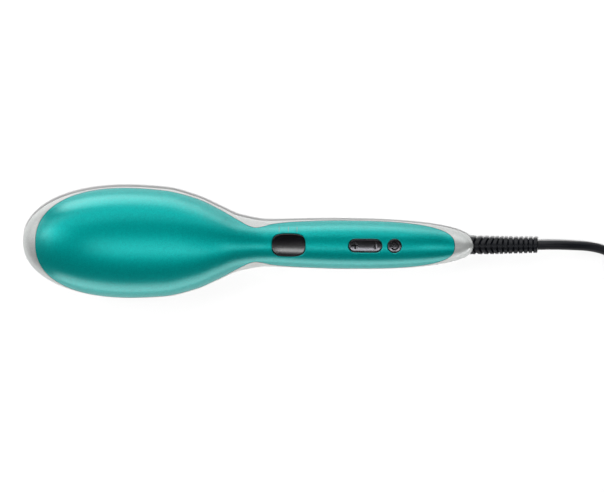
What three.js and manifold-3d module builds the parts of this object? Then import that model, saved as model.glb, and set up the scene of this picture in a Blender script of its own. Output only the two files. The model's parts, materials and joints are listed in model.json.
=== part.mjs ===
// Hair straightening brush: an oval paddle head with heated pins, and a handle with a display window,
// a level rocker and a power button, on a mains lead. Millimetres, +Z up.
// The brush lies on its bristle tips and on the underside of its tail, with the head towards -X.
// Along the brush, s is measured from the nose of the head. The last lines move s = 0 to its place.
import * as THREE from 'three';
import { mergeVertices } from 'three/addons/utils/BufferGeometryUtils.js';
import Module from 'manifold-3d';

const wasm = await Module();
wasm.setup();

// Sizes of the whole
const NECK_AT = 158.9;          // narrowest place, from the nose of the head
const HANDLE_FRONT = 47.1;      // neck to the handle's widest place
const HANDLE_REAR = 86.8;       // from there to the tip of the tail
const RELIEF_REACH = 41.6;      // strain relief outside the tail
const HANDLE_WIDEST = NECK_AT + HANDLE_FRONT;
const BODY_LENGTH = HANDLE_WIDEST + HANDLE_REAR;
const OVERALL = BODY_LENGTH + RELIEF_REACH;
const WALL = 2.2;               // moulded housing wall
const GAP = 0.3;                // clearance between pieces that touch
const SKIN_TOP = 60;            // above every part of the housing, for cuts

// Housing outline, seen from above
const HEAD_HALF = 36.3;
const HEAD_WIDEST = 69.2;
const NECK_HALF = 15.0;
const HANDLE_HALF = 16.2;

// Top cover outline, inside the housing outline
const COVER_NOSE = 8.6;
const COVER_TAIL = BODY_LENGTH - 12.6;
const COVER_INSET = 0.7;        // the lower shell's lip beside the cover, at the head and the handle
const COVER_WAIST_HALF = 11.1;
const COVER_WAIST_AT = NECK_AT - 7.7;
const COVER_HEM = 1.5;          // the cover's edge stays this far above the widest line

// Side view: the widest line, the crown above it and the keel below it
const RIM_HEAD = 22.5;
const RIM_NECK = 16.5;
const RIM_HANDLE = 14.5;
const RIM_REST = 12.3;
const RIM_TAIL = 11;
const HEAD_CROWN = 20;
const HEAD_CROWN_AT = 62;
const HANDLE_CROWN = 12.6;
const TAIL_CROWN = 9.4;
const TAIL_END_AT = BODY_LENGTH - 12.8;     // where the tail starts to round off
const HEAD_KEEL = 9;
const HANDLE_KEEL = RIM_HANDLE - 2.3;       // the handle's underside clears the ground
const REST_KEEL = RIM_REST + 0.6;           // reaches just past the ground, and is cut flat there
const REST_AT = BODY_LENGTH - 30.8;
const TAIL_KEEL = 9.5;
const NECK_BEND = NECK_AT + 9.1;

// Bristle side of the head
const FIELD_CENTRE = 66;
const FRAME_FRONT = 53;
const FRAME_REAR = 58;
const HEAD_FLAT_END = FIELD_CENTRE + FRAME_REAR - 6;
const FRAME_HALF = HEAD_HALF - 8.3;
const FRAME_RING = 6.4;         // width of the ring that holds the cool bristles
const FRAME_DROP = 1.2;         // ring below the lower shell
const FLANGE_LAP = 1.5;
const FLANGE_THICK = 1.0;
const FIELD_POWER = 2.3;        // squareness of the oval
const GUARD_COUNT = 34;
const GUARD_ROOT_R = 1.3;
const GUARD_TIP_R = 0.8;
const PLATE_SUNK = 0.6;         // plate above the ring's underside
const PLATE_THICK = 2.0;
const PIN_PITCH = 8;
const PIN_MARGIN = 4.2;
const PIN_R = 2.0;
const PIN_BORE_R = 1.2;
const PIN_END = 4.4;            // height of the hollow pins' ends above the ground
const SHORT_PIN_END = 6.2;
const CAP_R = 1.8;
const CAP_END = 1.4;
const WEB_THICK = 1.2;
const HEATER_LENGTH = 30;
const HEATER_HALF = 5;
const HEATER_THICK = 2.6;
const HEATER_SPACE = 10;        // between the two heaters, where the sensors lie
const CLAMP_BOSS_R = 2.5;
const STRIP_THICK = 0.4;
const SHEET_THICK = 0.6;
const BAR_THICK = 1.5;
const SENSOR_R = 1.4;
const SENSOR_SIDE = 2.2;        // each sensor from the middle of the plate
const SENSOR_HALF = 4;

// Control panel
const BUTTON_AT = BODY_LENGTH - 51.7;
const ROCKER_AT = BUTTON_AT - 19;
const WINDOW_AT = NECK_AT + 13.5;
const WINDOW_HALF_LENGTH = 10.9;
const WINDOW_HALF_WIDTH = 7.55;
const WINDOW_POWER = 3.2;
const WINDOW_LIP = 1.2;
const WINDOW_THICK = 1.2;
const ROCKER_HALF_LENGTH = 11.05;
const ROCKER_RADIUS = 4.5;
const ROCKER_SUNK = 0.5;
const ROCKER_GAP = 0.5;         // room for its tilt in the cover
const BUTTON_HOLE_R = 4.65;
const BUTTON_SUNK = 0.3;
const BUTTON_TRAVEL = 0.6;
const BUTTON_LAP = 0.6;         // its flange under the cover
const STEM_R = 2.3;
const BOARD_TOP = 15;
const BOARD_THICK = 1.6;
const BOARD_FRONT = WINDOW_AT - 14.4;
const BOARD_SIDE_GAP = 2.3;
const BOARD_HALF = Math.min(NECK_HALF, HANDLE_HALF) - WALL - BOARD_SIDE_GAP;
const SWITCH_HALF = 3;
const SWITCH_HEIGHT = 2.2;
const PLUNGER_R = 1.5;
const PLUNGER_HEIGHT = 0.6;
const LEVEL_SWITCH_AT = ROCKER_HALF_LENGTH - 4.7;   // each level switch from the rocker's pivot
const KEY_FRAME_THICK = 2.2;
const KEY_FRAME_HALF = 7.2;
const KEY_FRAME_FOOT = 2;
const PIVOT_R = 0.8;
const HUB_WALL = 1.1;           // round the rocker's pivot bore
const STANDOFF_R = 2;
const STANDOFF_SIDE = 6.5;
const TRIAC = { at: HANDLE_WIDEST - 15.5, length: 15, half: 5, height: 4.5 };
const CAPACITOR = { at: HANDLE_WIDEST + 7.5, length: 13, half: 3.5, height: 6.8 };
const WIRE_R = 0.8;

// Tail: cord clamp, strain relief and screws
const CORD_R = 3;
const CLAMP_AT = BODY_LENGTH - 28.8;
const CLAMP_SCREW_SIDE = 6.2;
const CLAMP_BAR_HALF = CLAMP_SCREW_SIDE + 3;
const CLAMP_BAR_HEIGHT = 5;
const CLAMP_SEAT = 2;           // the clamp bar's floor under its screw heads
const CRADLE_HALF = 4;
const JACKET_END = CLAMP_AT - 5.5;
const RELIEF_ROOT = BODY_LENGTH - 16.8;
const RELIEF_FLANGE = 2;
const RELIEF_FLANGE_R = 6.8;
const RELIEF_ROOT_R = 5.7;
const RELIEF_END_R = 5.0;
const RIB_START = BODY_LENGTH - 6.5;
const RIB_COUNT = 13;
const RIB_DEPTH = 1.5;
const RIB_SWEEP = 2.4;          // the first rib's sides behind its spine
const SWEPT_RIBS = 6;
const SCREW_R = 1.4;
const SCREW_HEAD_R = 2.5;
const SCREW_HEAD = 1.8;
const SCREW_SEAT = 3;           // boss wall that a housing screw's head bears on
const SCREW_BITE = 6;           // screw length inside a cover post
const BOSS_R = 3;
const NECK_SCREW_AT = NECK_AT - 12.9;
const NECK_BOSS_TOP = 17.5;
const TAIL_SCREW_AT = CLAMP_AT - 10.8;
const TAIL_BOSS_TOP = 9.5;
const BOARD_REAR = TAIL_SCREW_AT - 4.2;

// Free lead: its coil lies past the tail, out of the way, tied and with its plug beside it
const COIL_X = 262;
const COIL_Y = 19;
const COIL_MEAN_R = 32.5;
const COIL_PITCH = 6.5;
const COIL_LAYERS = 4;
const TURNS_A_LAYER = 2;
const STEPS_A_TURN = 24;
const COIL_SIDES = 6;
const TIE_THICK = 0.8;
const TIE_WIDE = 8;
const PLUG_FACE = 332.3;
const PLUG_Y = -20;
const PLUG_LENGTH = 34;
const PLUG_HALF = 17.6;
const PLUG_HALF_THICK = 6.85;
const PLUG_PIN_R = 2;
const PLUG_PIN_LENGTH = 19;
const PLUG_PIN_SPACING = 18.6;

// Lines and outlines

const mix = (a, b, share) => a + (b - a) * share;

// A smooth line through points [s, value] that never swings past them.
function smoothLine(points) {
  const slope = points.slice(1).map(([s, v], i) => (v - points[i][1]) / (s - points[i][0]));
  const lean = points.map((_, i) => {
    const before = slope[i - 1] ?? 0;
    const after = slope[i] ?? 0;
    return before * after > 0 ? 2 * before * after / (before + after) : 0;
  });
  return s => {
    if (s <= points[0][0]) return points[0][1];
    if (s >= points.at(-1)[0]) return points.at(-1)[1];
    const i = points.findIndex(([end]) => end > s) - 1;
    const [s0, v0] = points[i];
    const [s1, v1] = points[i + 1];
    const u = (s - s0) / (s1 - s0);
    const start = (1 + 2 * u) * (1 - u) ** 2 * v0 + u * (1 - u) ** 2 * (s1 - s0) * lean[i];
    const end = u * u * (3 - 2 * u) * v1 + u * u * (u - 1) * (s1 - s0) * lean[i + 1];
    return start + end;
  };
}

// The rounding of an end: 1 at its root and 0 at its tip.
const roundEnd = (u, power) => Math.max(0, 1 - Math.min(1, u) ** power) ** (1 / power);

// A size along the body: a rounded nose, a line through the middle points and a rounded tail.
function swell(nose, nosePower, middle, tail, tailPower) {
  const line = smoothLine(middle);
  const [headAt, headSize] = middle[0];
  const [tailAt, tailSize] = middle.at(-1);
  return (s, inset = 0) => {
    const intoNose = (headAt - s) / (headAt - nose - inset);
    const intoTail = (s - tailAt) / (tail - inset - tailAt);
    if (s < headAt) return (headSize - inset) * roundEnd(intoNose, nosePower);
    if (s > tailAt) return (tailSize - inset) * roundEnd(intoTail, tailPower);
    return line(s) - inset;
  };
}

// Points between two ends of a line, given as shares of the way along and of the change.
const between = (s0, v0, s1, v1, shares) => shares
  .map(([along, change]) => [mix(s0, s1, along), mix(v0, v1, change)]);

const bodyHalf = swell(0, 2.15, [
  [HEAD_WIDEST, HEAD_HALF],
  ...between(HEAD_WIDEST, HEAD_HALF, NECK_AT, NECK_HALF,
    [[0.25, 0.05], [0.48, 0.286], [0.65, 0.6], [0.8, 0.87]]),
  [NECK_AT, NECK_HALF],
  ...between(NECK_AT, NECK_HALF, HANDLE_WIDEST, HANDLE_HALF, [[0.5, 0.62]]),
  [HANDLE_WIDEST, HANDLE_HALF],
], BODY_LENGTH, 2.55);

const coverHeadHalf = HEAD_HALF - COVER_INSET;
const coverHandleHalf = HANDLE_HALF - COVER_INSET;
const coverHalf = swell(COVER_NOSE, 2.33, [
  [HEAD_WIDEST, coverHeadHalf],
  ...between(HEAD_WIDEST, coverHeadHalf, COVER_WAIST_AT, COVER_WAIST_HALF,
    [[0.27, 0.053], [0.52, 0.248], [0.71, 0.533], [0.87, 0.83], [0.96, 0.975]]),
  [COVER_WAIST_AT, COVER_WAIST_HALF],
  ...between(COVER_WAIST_AT, COVER_WAIST_HALF, HANDLE_WIDEST, coverHandleHalf,
    [[0.07, 0.12], [0.19, 0.46], [0.46, 0.78]]),
  [HANDLE_WIDEST, coverHandleHalf],
], COVER_TAIL, 2.8);

const rimHeight = smoothLine([
  [0, RIM_HEAD], [HEAD_FLAT_END, RIM_HEAD], [NECK_BEND, RIM_NECK], [HANDLE_WIDEST, RIM_HANDLE],
  [REST_AT, RIM_REST], [BODY_LENGTH, RIM_TAIL],
]);
const crown = swell(0, 2, [
  [HEAD_CROWN_AT, HEAD_CROWN],
  ...between(HEAD_CROWN_AT, HEAD_CROWN, HANDLE_WIDEST, HANDLE_CROWN,
    [[0.26, 0.07], [0.47, 0.47], [0.67, 0.86]]),
  [HANDLE_WIDEST, HANDLE_CROWN],
  ...between(HANDLE_WIDEST, HANDLE_CROWN, TAIL_END_AT, TAIL_CROWN, [[0.6, 0.28]]),
  [TAIL_END_AT, TAIL_CROWN],
], BODY_LENGTH, 5);
const keel = swell(0, 2.6, [
  [16, HEAD_KEEL], [HEAD_FLAT_END, HEAD_KEEL], [NECK_BEND, mix(HEAD_KEEL, HANDLE_KEEL, 0.3)],
  [HANDLE_WIDEST, HANDLE_KEEL], [REST_AT, REST_KEEL], [TAIL_END_AT, TAIL_KEEL],
], BODY_LENGTH, 4);
const keelPower = smoothLine([[HEAD_FLAT_END, 10], [NECK_AT, 2.6]]);
const CROWN_POWER = 2.15;

const crownAt = (s, y = 0, inset = 0) => rimHeight(s)
  + crown(s, inset) * roundEnd(Math.abs(y) / bodyHalf(s, inset), CROWN_POWER);
const HEAD_FLOOR = RIM_HEAD - HEAD_KEEL;

// Solids

const toSolid = geometry => {
  const bare = geometry.index ? geometry.toNonIndexed() : geometry;
  for (const name of Object.keys(bare.attributes)) if (name !== 'position') bare.deleteAttribute(name);
  const merged = mergeVertices(bare, 1e-5);
  return new wasm.Manifold(new wasm.Mesh({
    numProp: 3,
    vertProperties: new Float32Array(merged.attributes.position.array),
    triVerts: new Uint32Array(merged.index.array),
  }));
};

const toGeometry = solid => {
  const mesh = solid.getMesh();
  const geometry = new THREE.BufferGeometry();
  geometry.setAttribute('position', new THREE.BufferAttribute(mesh.vertProperties, 3));
  geometry.setIndex(new THREE.BufferAttribute(mesh.triVerts, 1));
  return geometry;
};

const joined = solids => solids.reduce((sum, one) => sum.add(one));

// A closed skin over rings of the same number of points, with a fan over each end.
function ringLoft(rings) {
  const count = rings[0].length;
  const centre = ring => ring.reduce((sum, p) => sum.add(p), new THREE.Vector3()).divideScalar(count);
  const points = [...rings.flat(), centre(rings[0]), centre(rings.at(-1))];
  const firstCentre = rings.length * count;
  const faces = [];
  for (let i = 0; i < count; i++) {
    const next = (i + 1) % count;
    faces.push(firstCentre, next, i);
    const last = (rings.length - 1) * count;
    faces.push(firstCentre + 1, last + i, last + next);
    for (let row = 0; row < rings.length - 1; row++) {
      const a = row * count;
      const b = a + count;
      faces.push(a + i, a + next, b + next, a + i, b + next, b + i);
    }
  }
  const geometry = new THREE.BufferGeometry().setFromPoints(points);
  geometry.setIndex(faces);
  return geometry;
}

// Places along a body, close together where its ends are round.
function stations(nose, noseEnd, tailStart, tail, counts) {
  const [noseSteps, middleSteps, tailSteps] = counts;
  const firstAngle = 0.06;
  const turn = (i, steps) => mix(firstAngle, Math.PI / 2, i / steps);
  const list = [];
  const rounding = (i, steps) => 1 - Math.cos(turn(i, steps));
  for (let i = 0; i < noseSteps; i++) list.push(nose + (noseEnd - nose) * rounding(i, noseSteps));
  for (let i = 0; i < middleSteps; i++) list.push(mix(noseEnd, tailStart, i / middleSteps));
  for (let i = tailSteps; i >= 0; i--) list.push(tail - (tail - tailStart) * rounding(i, tailSteps));
  return list;
}

// The housing's full form, drawn in by an inset on every side.
const HALF_RING = 10;
const BODY_STEPS = [8, 14, 8];
const COVER_STEPS = [7, 16, 8];
function bodySolid(inset) {
  const list = stations(inset, HEAD_WIDEST, HANDLE_WIDEST, BODY_LENGTH - inset, BODY_STEPS);
  const rings = list.map(s => {
    const half = bodyHalf(s, inset);
    const ring = [];
    for (let i = 0; i < 2 * HALF_RING; i++) {
      const angle = Math.PI * i / HALF_RING;
      const [across, up] = [Math.cos(angle), Math.sin(angle)];
      const power = up >= 0 ? CROWN_POWER : keelPower(s);
      const height = up >= 0 ? crown(s, inset) : keel(s, inset);
      const y = half * Math.sign(across) * Math.abs(across) ** (2 / power);
      const z = height * Math.sign(up) * Math.abs(up) ** (2 / power);
      ring.push(new THREE.Vector3(s, y, rimHeight(s) + z));
    }
    return ring;
  });
  return toSolid(ringLoft(rings));
}

// The space of the top cover: everything inside its outline and above the housing's widest line.
function coverColumn(grow) {
  const list = stations(COVER_NOSE - grow, HEAD_WIDEST, HANDLE_WIDEST, COVER_TAIL + grow, COVER_STEPS);
  const rings = list.map(s => {
    const half = coverHalf(s, -grow);
    const low = rimHeight(s) + COVER_HEM - grow;
    return [[half, low], [half, SKIN_TOP], [-half, SKIN_TOP], [-half, low]]
      .map(([y, z]) => new THREE.Vector3(s, y, z));
  });
  return toSolid(ringLoft(rings));
}

const box = (s0, s1, y0, y1, z0, z1) => toSolid(new THREE.BoxGeometry(s1 - s0, y1 - y0, z1 - z0)
  .translate((s0 + s1) / 2, (y0 + y1) / 2, (z0 + z1) / 2));

// An upright post, or a cone where its top and bottom differ.
const post = (s, y, z0, z1, r0, sides = 12, r1 = r0) => toSolid(
  new THREE.CylinderGeometry(r1, r0, z1 - z0, sides).rotateX(Math.PI / 2).translate(s, y, (z0 + z1) / 2));

// A rod along the brush, and one across it.
const rod = (s0, s1, y, z, radius, sides = 16) => toSolid(
  new THREE.CylinderGeometry(radius, radius, s1 - s0, sides).rotateZ(Math.PI / 2)
    .translate((s0 + s1) / 2, y, z));
const crossRod = (s, y0, y1, z, radius, sides = 12) => toSolid(
  new THREE.CylinderGeometry(radius, radius, y1 - y0, sides).translate(s, (y0 + y1) / 2, z));

const prism = (outline, z0, z1) => toSolid(
  new THREE.ExtrudeGeometry(new THREE.Shape(outline), { depth: z1 - z0, bevelEnabled: false })
    .translate(0, 0, z0));

// An oval that may be longer behind its centre than ahead of it.
function oval(centre, front, rear, half, power, steps) {
  const points = [];
  for (let i = 0; i < steps; i++) {
    const angle = 2 * Math.PI * i / steps;
    const [along, across] = [Math.cos(angle), Math.sin(angle)];
    const reach = along > 0 ? rear : front;
    points.push(new THREE.Vector2(
      centre + reach * Math.sign(along) * Math.abs(along) ** (2 / power),
      half * Math.sign(across) * Math.abs(across) ** (2 / power)));
  }
  return points;
}

const fieldOutline = (grow, steps = 32) => oval(
  FIELD_CENTRE, FRAME_FRONT + grow, FRAME_REAR + grow, FRAME_HALF + grow, FIELD_POWER, steps);
const windowOutline = grow => oval(
  WINDOW_AT, WINDOW_HALF_LENGTH + grow, WINDOW_HALF_LENGTH + grow, WINDOW_HALF_WIDTH + grow, WINDOW_POWER, 28);

// A pill: two half rounds and the straight sides between them.
function pillOutline(grow, steps = 8) {
  const radius = ROCKER_RADIUS + grow;
  const reach = ROCKER_HALF_LENGTH - ROCKER_RADIUS;
  const points = [];
  for (const side of [1, -1]) {
    for (let i = 0; i <= steps; i++) {
      const angle = Math.PI * (i / steps - 0.5);
      points.push(new THREE.Vector2(
        ROCKER_AT + side * (reach + radius * Math.cos(angle)), side * radius * Math.sin(angle)));
    }
  }
  return points;
}

// A round tube along a smooth path through points chosen by hand.
function tube(points, radius, sides, steps) {
  const section = new THREE.Shape();
  for (let i = 0; i < sides; i++) {
    const angle = 2 * Math.PI * i / sides;
    section[i ? 'lineTo' : 'moveTo'](radius * Math.cos(angle), radius * Math.sin(angle));
  }
  section.closePath();
  const path = new THREE.CatmullRomCurve3(points.map(p => new THREE.Vector3(...p)));
  return toSolid(new THREE.ExtrudeGeometry(section, { steps, extrudePath: path, bevelEnabled: false }));
}

// Housing

const outerBody = bodySolid(0);
const shell = outerBody.subtract(bodySolid(WALL));
const ground = box(-10, BODY_LENGTH + 10, -60, 60, -20, 0);

// Posts that reach up into the cover from the joint with the lower shell.
const coverPost = (s, z0) => post(s, 0, z0, crownAt(s) - WALL / 2, BOSS_R)
  .subtract(post(s, 0, z0 - 1, z0 + SCREW_BITE + 1, SCREW_R + GAP, 10));

const frameFlangeTop = HEAD_FLOOR + WALL + 2 * GAP + FLANGE_THICK;
const frontScrewAt = FIELD_CENTRE - FRAME_FRONT + FRAME_RING / 2;
const rearScrewAt = FIELD_CENTRE + FRAME_REAR - FRAME_RING / 2;

function topCover() {
  const openings = [
    prism(windowOutline(0), RIM_TAIL, SKIN_TOP),
    prism(pillOutline(0), RIM_TAIL, SKIN_TOP),
    post(BUTTON_AT, 0, RIM_TAIL, SKIN_TOP, BUTTON_HOLE_R, 20),
  ];
  const posts = [
    coverPost(frontScrewAt, frameFlangeTop + GAP),
    coverPost(rearScrewAt, frameFlangeTop + GAP),
    coverPost(NECK_SCREW_AT, NECK_BOSS_TOP + GAP),
    coverPost(TAIL_SCREW_AT, TAIL_BOSS_TOP + GAP),
  ];
  const skin = shell.intersect(coverColumn(0)).subtract(joined(openings));
  return joined([skin, ...posts]);
}

// A screw boss of the lower shell, open below for the screw's head.
function shellBoss(s, top) {
  const boss = post(s, 0, 0, top, BOSS_R + 1).intersect(outerBody);
  const bore = post(s, 0, -1, top + 1, SCREW_R + GAP, 10);
  const seat = post(s, 0, -1, top - SCREW_SEAT, SCREW_HEAD_R + GAP);
  return { boss, bore: bore.add(seat) };
}

const clampBossTop = RIM_TAIL - GAP;
const cradleTop = RIM_TAIL - CORD_R - GAP;
const underBoard = BOARD_TOP - BOARD_THICK - GAP;
const standoffPlaces = [WINDOW_AT, BUTTON_AT];

function baseShell() {
  const neck = shellBoss(NECK_SCREW_AT, NECK_BOSS_TOP);
  const tail = shellBoss(TAIL_SCREW_AT, TAIL_BOSS_TOP);
  const cradle = box(CLAMP_AT - 2, CLAMP_AT + 2, -CRADLE_HALF, CRADLE_HALF, 0, cradleTop);
  const inside = [neck.boss, tail.boss, cradle.intersect(outerBody)];
  const cuts = [
    coverColumn(GAP),
    prism(fieldOutline(GAP), HEAD_FLOOR - 5, HEAD_FLOOR + WALL + 1),
    neck.bore, tail.bore, ground,
    rod(RELIEF_ROOT + RELIEF_FLANGE, BODY_LENGTH + 5, 0, RIM_TAIL, RELIEF_ROOT_R + GAP),
  ];
  for (const side of [1, -1]) {
    const screwSide = side * CLAMP_SCREW_SIDE;
    inside.push(post(CLAMP_AT, screwSide, 0, clampBossTop, SCREW_HEAD_R).intersect(outerBody));
    cuts.push(post(CLAMP_AT, screwSide, clampBossTop - 4, clampBossTop + 1, SCREW_R + GAP, 10));
    for (const s of standoffPlaces) {
      inside.push(post(s, side * STANDOFF_SIDE, 0, underBoard, STANDOFF_R, 8).intersect(outerBody));
    }
  }
  return joined([shell, ...inside]).subtract(joined(cuts));
}

// A screw with its axis up Z and its head below, from the head's outer face to its tip.
function screw(length) {
  const profile = [
    [0, 0], [SCREW_HEAD_R, 0], [SCREW_HEAD_R, SCREW_HEAD],
    [SCREW_R, SCREW_HEAD], [SCREW_R, length], [0, length],
  ];
  return toSolid(new THREE.LatheGeometry(profile.map(p => new THREE.Vector2(...p)), 8).rotateX(Math.PI / 2));
}

// Bristle side of the head

const frameBottom = HEAD_FLOOR - FRAME_DROP;
const plateBottom = frameBottom + PLATE_SUNK;
const plateTop = plateBottom + PLATE_THICK;
const plateInset = FRAME_RING + GAP;
const webBottom = plateTop + GAP;
const webTop = webBottom + WEB_THICK;

// Places along an outline at equal steps.
function placesAlong(outline, count) {
  const curve = new THREE.CatmullRomCurve3(outline.map(p => new THREE.Vector3(p.x, p.y, 0)), true);
  return curve.getSpacedPoints(count).slice(0, count);
}

function guardFrame() {
  const ring = prism(fieldOutline(0), frameBottom, HEAD_FLOOR + WALL + 2 * GAP);
  const flange = prism(fieldOutline(FLANGE_LAP), HEAD_FLOOR + WALL + GAP, frameFlangeTop);
  const hole = prism(fieldOutline(-FRAME_RING), frameBottom - 1, frameFlangeTop + 1);
  const bristles = placesAlong(fieldOutline(-FRAME_RING / 2), GUARD_COUNT)
    .map(p => post(p.x, p.y, 0, frameBottom + 0.5, GUARD_TIP_R, 6, GUARD_ROOT_R));
  const bores = [frontScrewAt, rearScrewAt].map(s => joined([
    post(s, 0, 0, frameFlangeTop + 1, SCREW_R + GAP, 10),
    post(s, 0, -1, frameBottom + SCREW_HEAD + 2 * GAP, SCREW_HEAD_R + GAP, 12),
  ]));
  return joined([ring, flange]).subtract(hole).add(joined(bristles)).subtract(joined(bores));
}

// The staggered grid of pins inside the plate's oval.
function pinPlaces() {
  const rows = Math.floor((FRAME_HALF - plateInset - PIN_MARGIN) / PIN_PITCH);
  const places = [];
  for (let row = -rows; row <= rows; row++) {
    const y = row * PIN_PITCH;
    const room = roundEnd(Math.abs(y) / (FRAME_HALF - plateInset - PIN_MARGIN), FIELD_POWER);
    const front = FIELD_CENTRE - (FRAME_FRONT - plateInset - PIN_MARGIN) * room;
    const rear = FIELD_CENTRE + (FRAME_REAR - plateInset - PIN_MARGIN) * room;
    const shift = row % 2 ? 0.5 : 0;
    const first = Math.ceil((front - FIELD_CENTRE) / PIN_PITCH - shift);
    for (let n = first; FIELD_CENTRE + (n + shift) * PIN_PITCH <= rear; n++) {
      places.push({ s: FIELD_CENTRE + (n + shift) * PIN_PITCH, y, hollow: row !== 0 });
    }
  }
  return places;
}

const hollowPins = pinPlaces().filter(p => p.hollow);
const heaterRun = HEATER_LENGTH + HEATER_SPACE / 2;
const clampBossAt = heaterRun + CLAMP_BOSS_R + 1;
const heaterTop = webBottom + HEATER_THICK;
const stripTop = heaterTop + GAP + STRIP_THICK;
const sheetTop = stripTop + GAP + SHEET_THICK;
const barTop = sheetTop + GAP + BAR_THICK;

function heaterPlate() {
  const plate = prism(fieldOutline(-plateInset), plateBottom, plateTop);
  const pins = pinPlaces().map(p => post(
    p.s, p.y, p.hollow ? PIN_END : SHORT_PIN_END, plateBottom + 0.5, PIN_R * 0.9, 6, PIN_R));
  const bores = hollowPins.map(p => post(p.s, p.y, 0, plateTop + 1, PIN_BORE_R, 6));
  for (const s of [FIELD_CENTRE - clampBossAt, FIELD_CENTRE + clampBossAt]) {
    pins.push(post(s, 0, plateTop - 0.5, sheetTop, CLAMP_BOSS_R));
    bores.push(post(s, 0, plateTop, sheetTop + 1, SCREW_R + GAP, 10));
  }
  return joined([plate, ...pins]).subtract(joined(bores));
}

function tipComb() {
  const web = prism(fieldOutline(-plateInset - 1), webBottom, webTop);
  const reach = clampBossAt + CLAMP_BOSS_R + 1;
  const half = HEATER_HALF + 0.5;
  const slot = box(FIELD_CENTRE - reach, FIELD_CENTRE + reach, -half, half, webBottom - 1, webTop + 1);
  const posts = hollowPins.map(p => joined([
    post(p.s, p.y, PIN_END - GAP - 0.5, webBottom + 0.5, PIN_BORE_R - GAP, 6),
    post(p.s, p.y, CAP_END, PIN_END - GAP, CAP_R / 2, 6, CAP_R),
  ]));
  return web.subtract(slot).add(joined(posts));
}

// Control panel

const switchTop = BOARD_TOP + GAP + SWITCH_HEIGHT;
const plungerTop = switchTop + PLUNGER_HEIGHT;
const keyFrameBottom = switchTop + GAP;
const keyFrameTop = keyFrameBottom + KEY_FRAME_THICK;
const pivotHeight = keyFrameBottom + KEY_FRAME_THICK / 2;

function displayWindow() {
  const low = rimHeight(WINDOW_AT);
  const pane = outerBody.intersect(prism(windowOutline(-GAP), low, SKIN_TOP));
  const lip = bodySolid(WALL + GAP).intersect(prism(windowOutline(WINDOW_LIP), low, SKIN_TOP));
  return pane.add(lip).subtract(bodySolid(WALL + GAP + WINDOW_THICK));
}

const windowUnderside = (s, y) => crownAt(s, y, WALL + GAP + WINDOW_THICK);

function displayModule() {
  const half = WINDOW_HALF_WIDTH - 1.5;
  const reach = WINDOW_HALF_LENGTH - 1.5;
  const top = windowUnderside(WINDOW_AT + reach, half) - GAP;
  return box(WINDOW_AT - reach, WINDOW_AT + reach, -half, half, BOARD_TOP + GAP, top);
}

const tactSwitch = s => joined([
  box(s - SWITCH_HALF, s + SWITCH_HALF, -SWITCH_HALF, SWITCH_HALF, BOARD_TOP + GAP, switchTop),
  post(s, 0, switchTop - 0.2, plungerTop, PLUNGER_R, 10),
]);

const keyFrameFront = ROCKER_AT - ROCKER_HALF_LENGTH - 3;
const keyFrameRear = BUTTON_AT + STEM_R + 4;

function keyFrame() {
  const plate = box(keyFrameFront, keyFrameRear, -KEY_FRAME_HALF, KEY_FRAME_HALF, keyFrameBottom, keyFrameTop);
  const foot = KEY_FRAME_FOOT;
  const feet = [keyFrameFront, keyFrameRear - foot].flatMap(s => [-KEY_FRAME_HALF, KEY_FRAME_HALF - foot]
    .map(y => box(s, s + foot, y, y + foot, BOARD_TOP + GAP, keyFrameBottom + 0.5)));
  const cuts = [
    prism(pillOutline(0), 0, SKIN_TOP),
    post(BUTTON_AT, 0, 0, SKIN_TOP, STEM_R + GAP, 16),
    crossRod(ROCKER_AT, -KEY_FRAME_HALF - 1, KEY_FRAME_HALF + 1, pivotHeight, PIVOT_R + GAP / 2),
  ];
  return joined([plate, ...feet]).subtract(joined(cuts));
}

// A skin inset just below the housing's surface gives each key its crowned top.
function levelRocker() {
  const half = ROCKER_RADIUS - ROCKER_GAP;
  const block = prism(pillOutline(-ROCKER_GAP), plungerTop + 0.5, SKIN_TOP).intersect(bodySolid(ROCKER_SUNK));
  const hub = crossRod(ROCKER_AT, -half, half, pivotHeight, PIVOT_R + GAP + HUB_WALL);
  return block.add(hub).subtract(crossRod(ROCKER_AT, -half - 1, half + 1, pivotHeight, PIVOT_R + GAP));
}

function powerButton() {
  const shoulder = crownAt(BUTTON_AT, BUTTON_HOLE_R + BUTTON_LAP, WALL) - GAP;
  const cap = post(BUTTON_AT, 0, shoulder - 0.5, SKIN_TOP, BUTTON_HOLE_R - GAP, 20)
    .intersect(bodySolid(BUTTON_SUNK));
  const flange = post(BUTTON_AT, 0, shoulder - 1, shoulder - 0.2, BUTTON_HOLE_R + BUTTON_LAP, 20)
    .intersect(bodySolid(WALL + GAP));
  const stem = post(BUTTON_AT, 0, plungerTop + BUTTON_TRAVEL + 0.1, shoulder - 0.5, STEM_R, 12);
  return joined([cap, flange, stem]);
}

// Tail

// A ring of the strain relief: its sides sweep back from the spines on top and below.
function reliefRing(s, radius, sweep, spineRadius, sides = 12) {
  const ring = [];
  for (let i = 0; i < sides; i++) {
    const angle = 2 * Math.PI * i / sides;
    const onSpine = Math.abs(Math.cos(angle)) < 0.01;
    const r = onSpine ? spineRadius : radius;
    const shift = sweep * Math.cos(angle) ** 2;
    ring.push(new THREE.Vector3(s + shift, r * Math.cos(angle), RIM_TAIL + r * Math.sin(angle)));
  }
  return ring;
}

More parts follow.
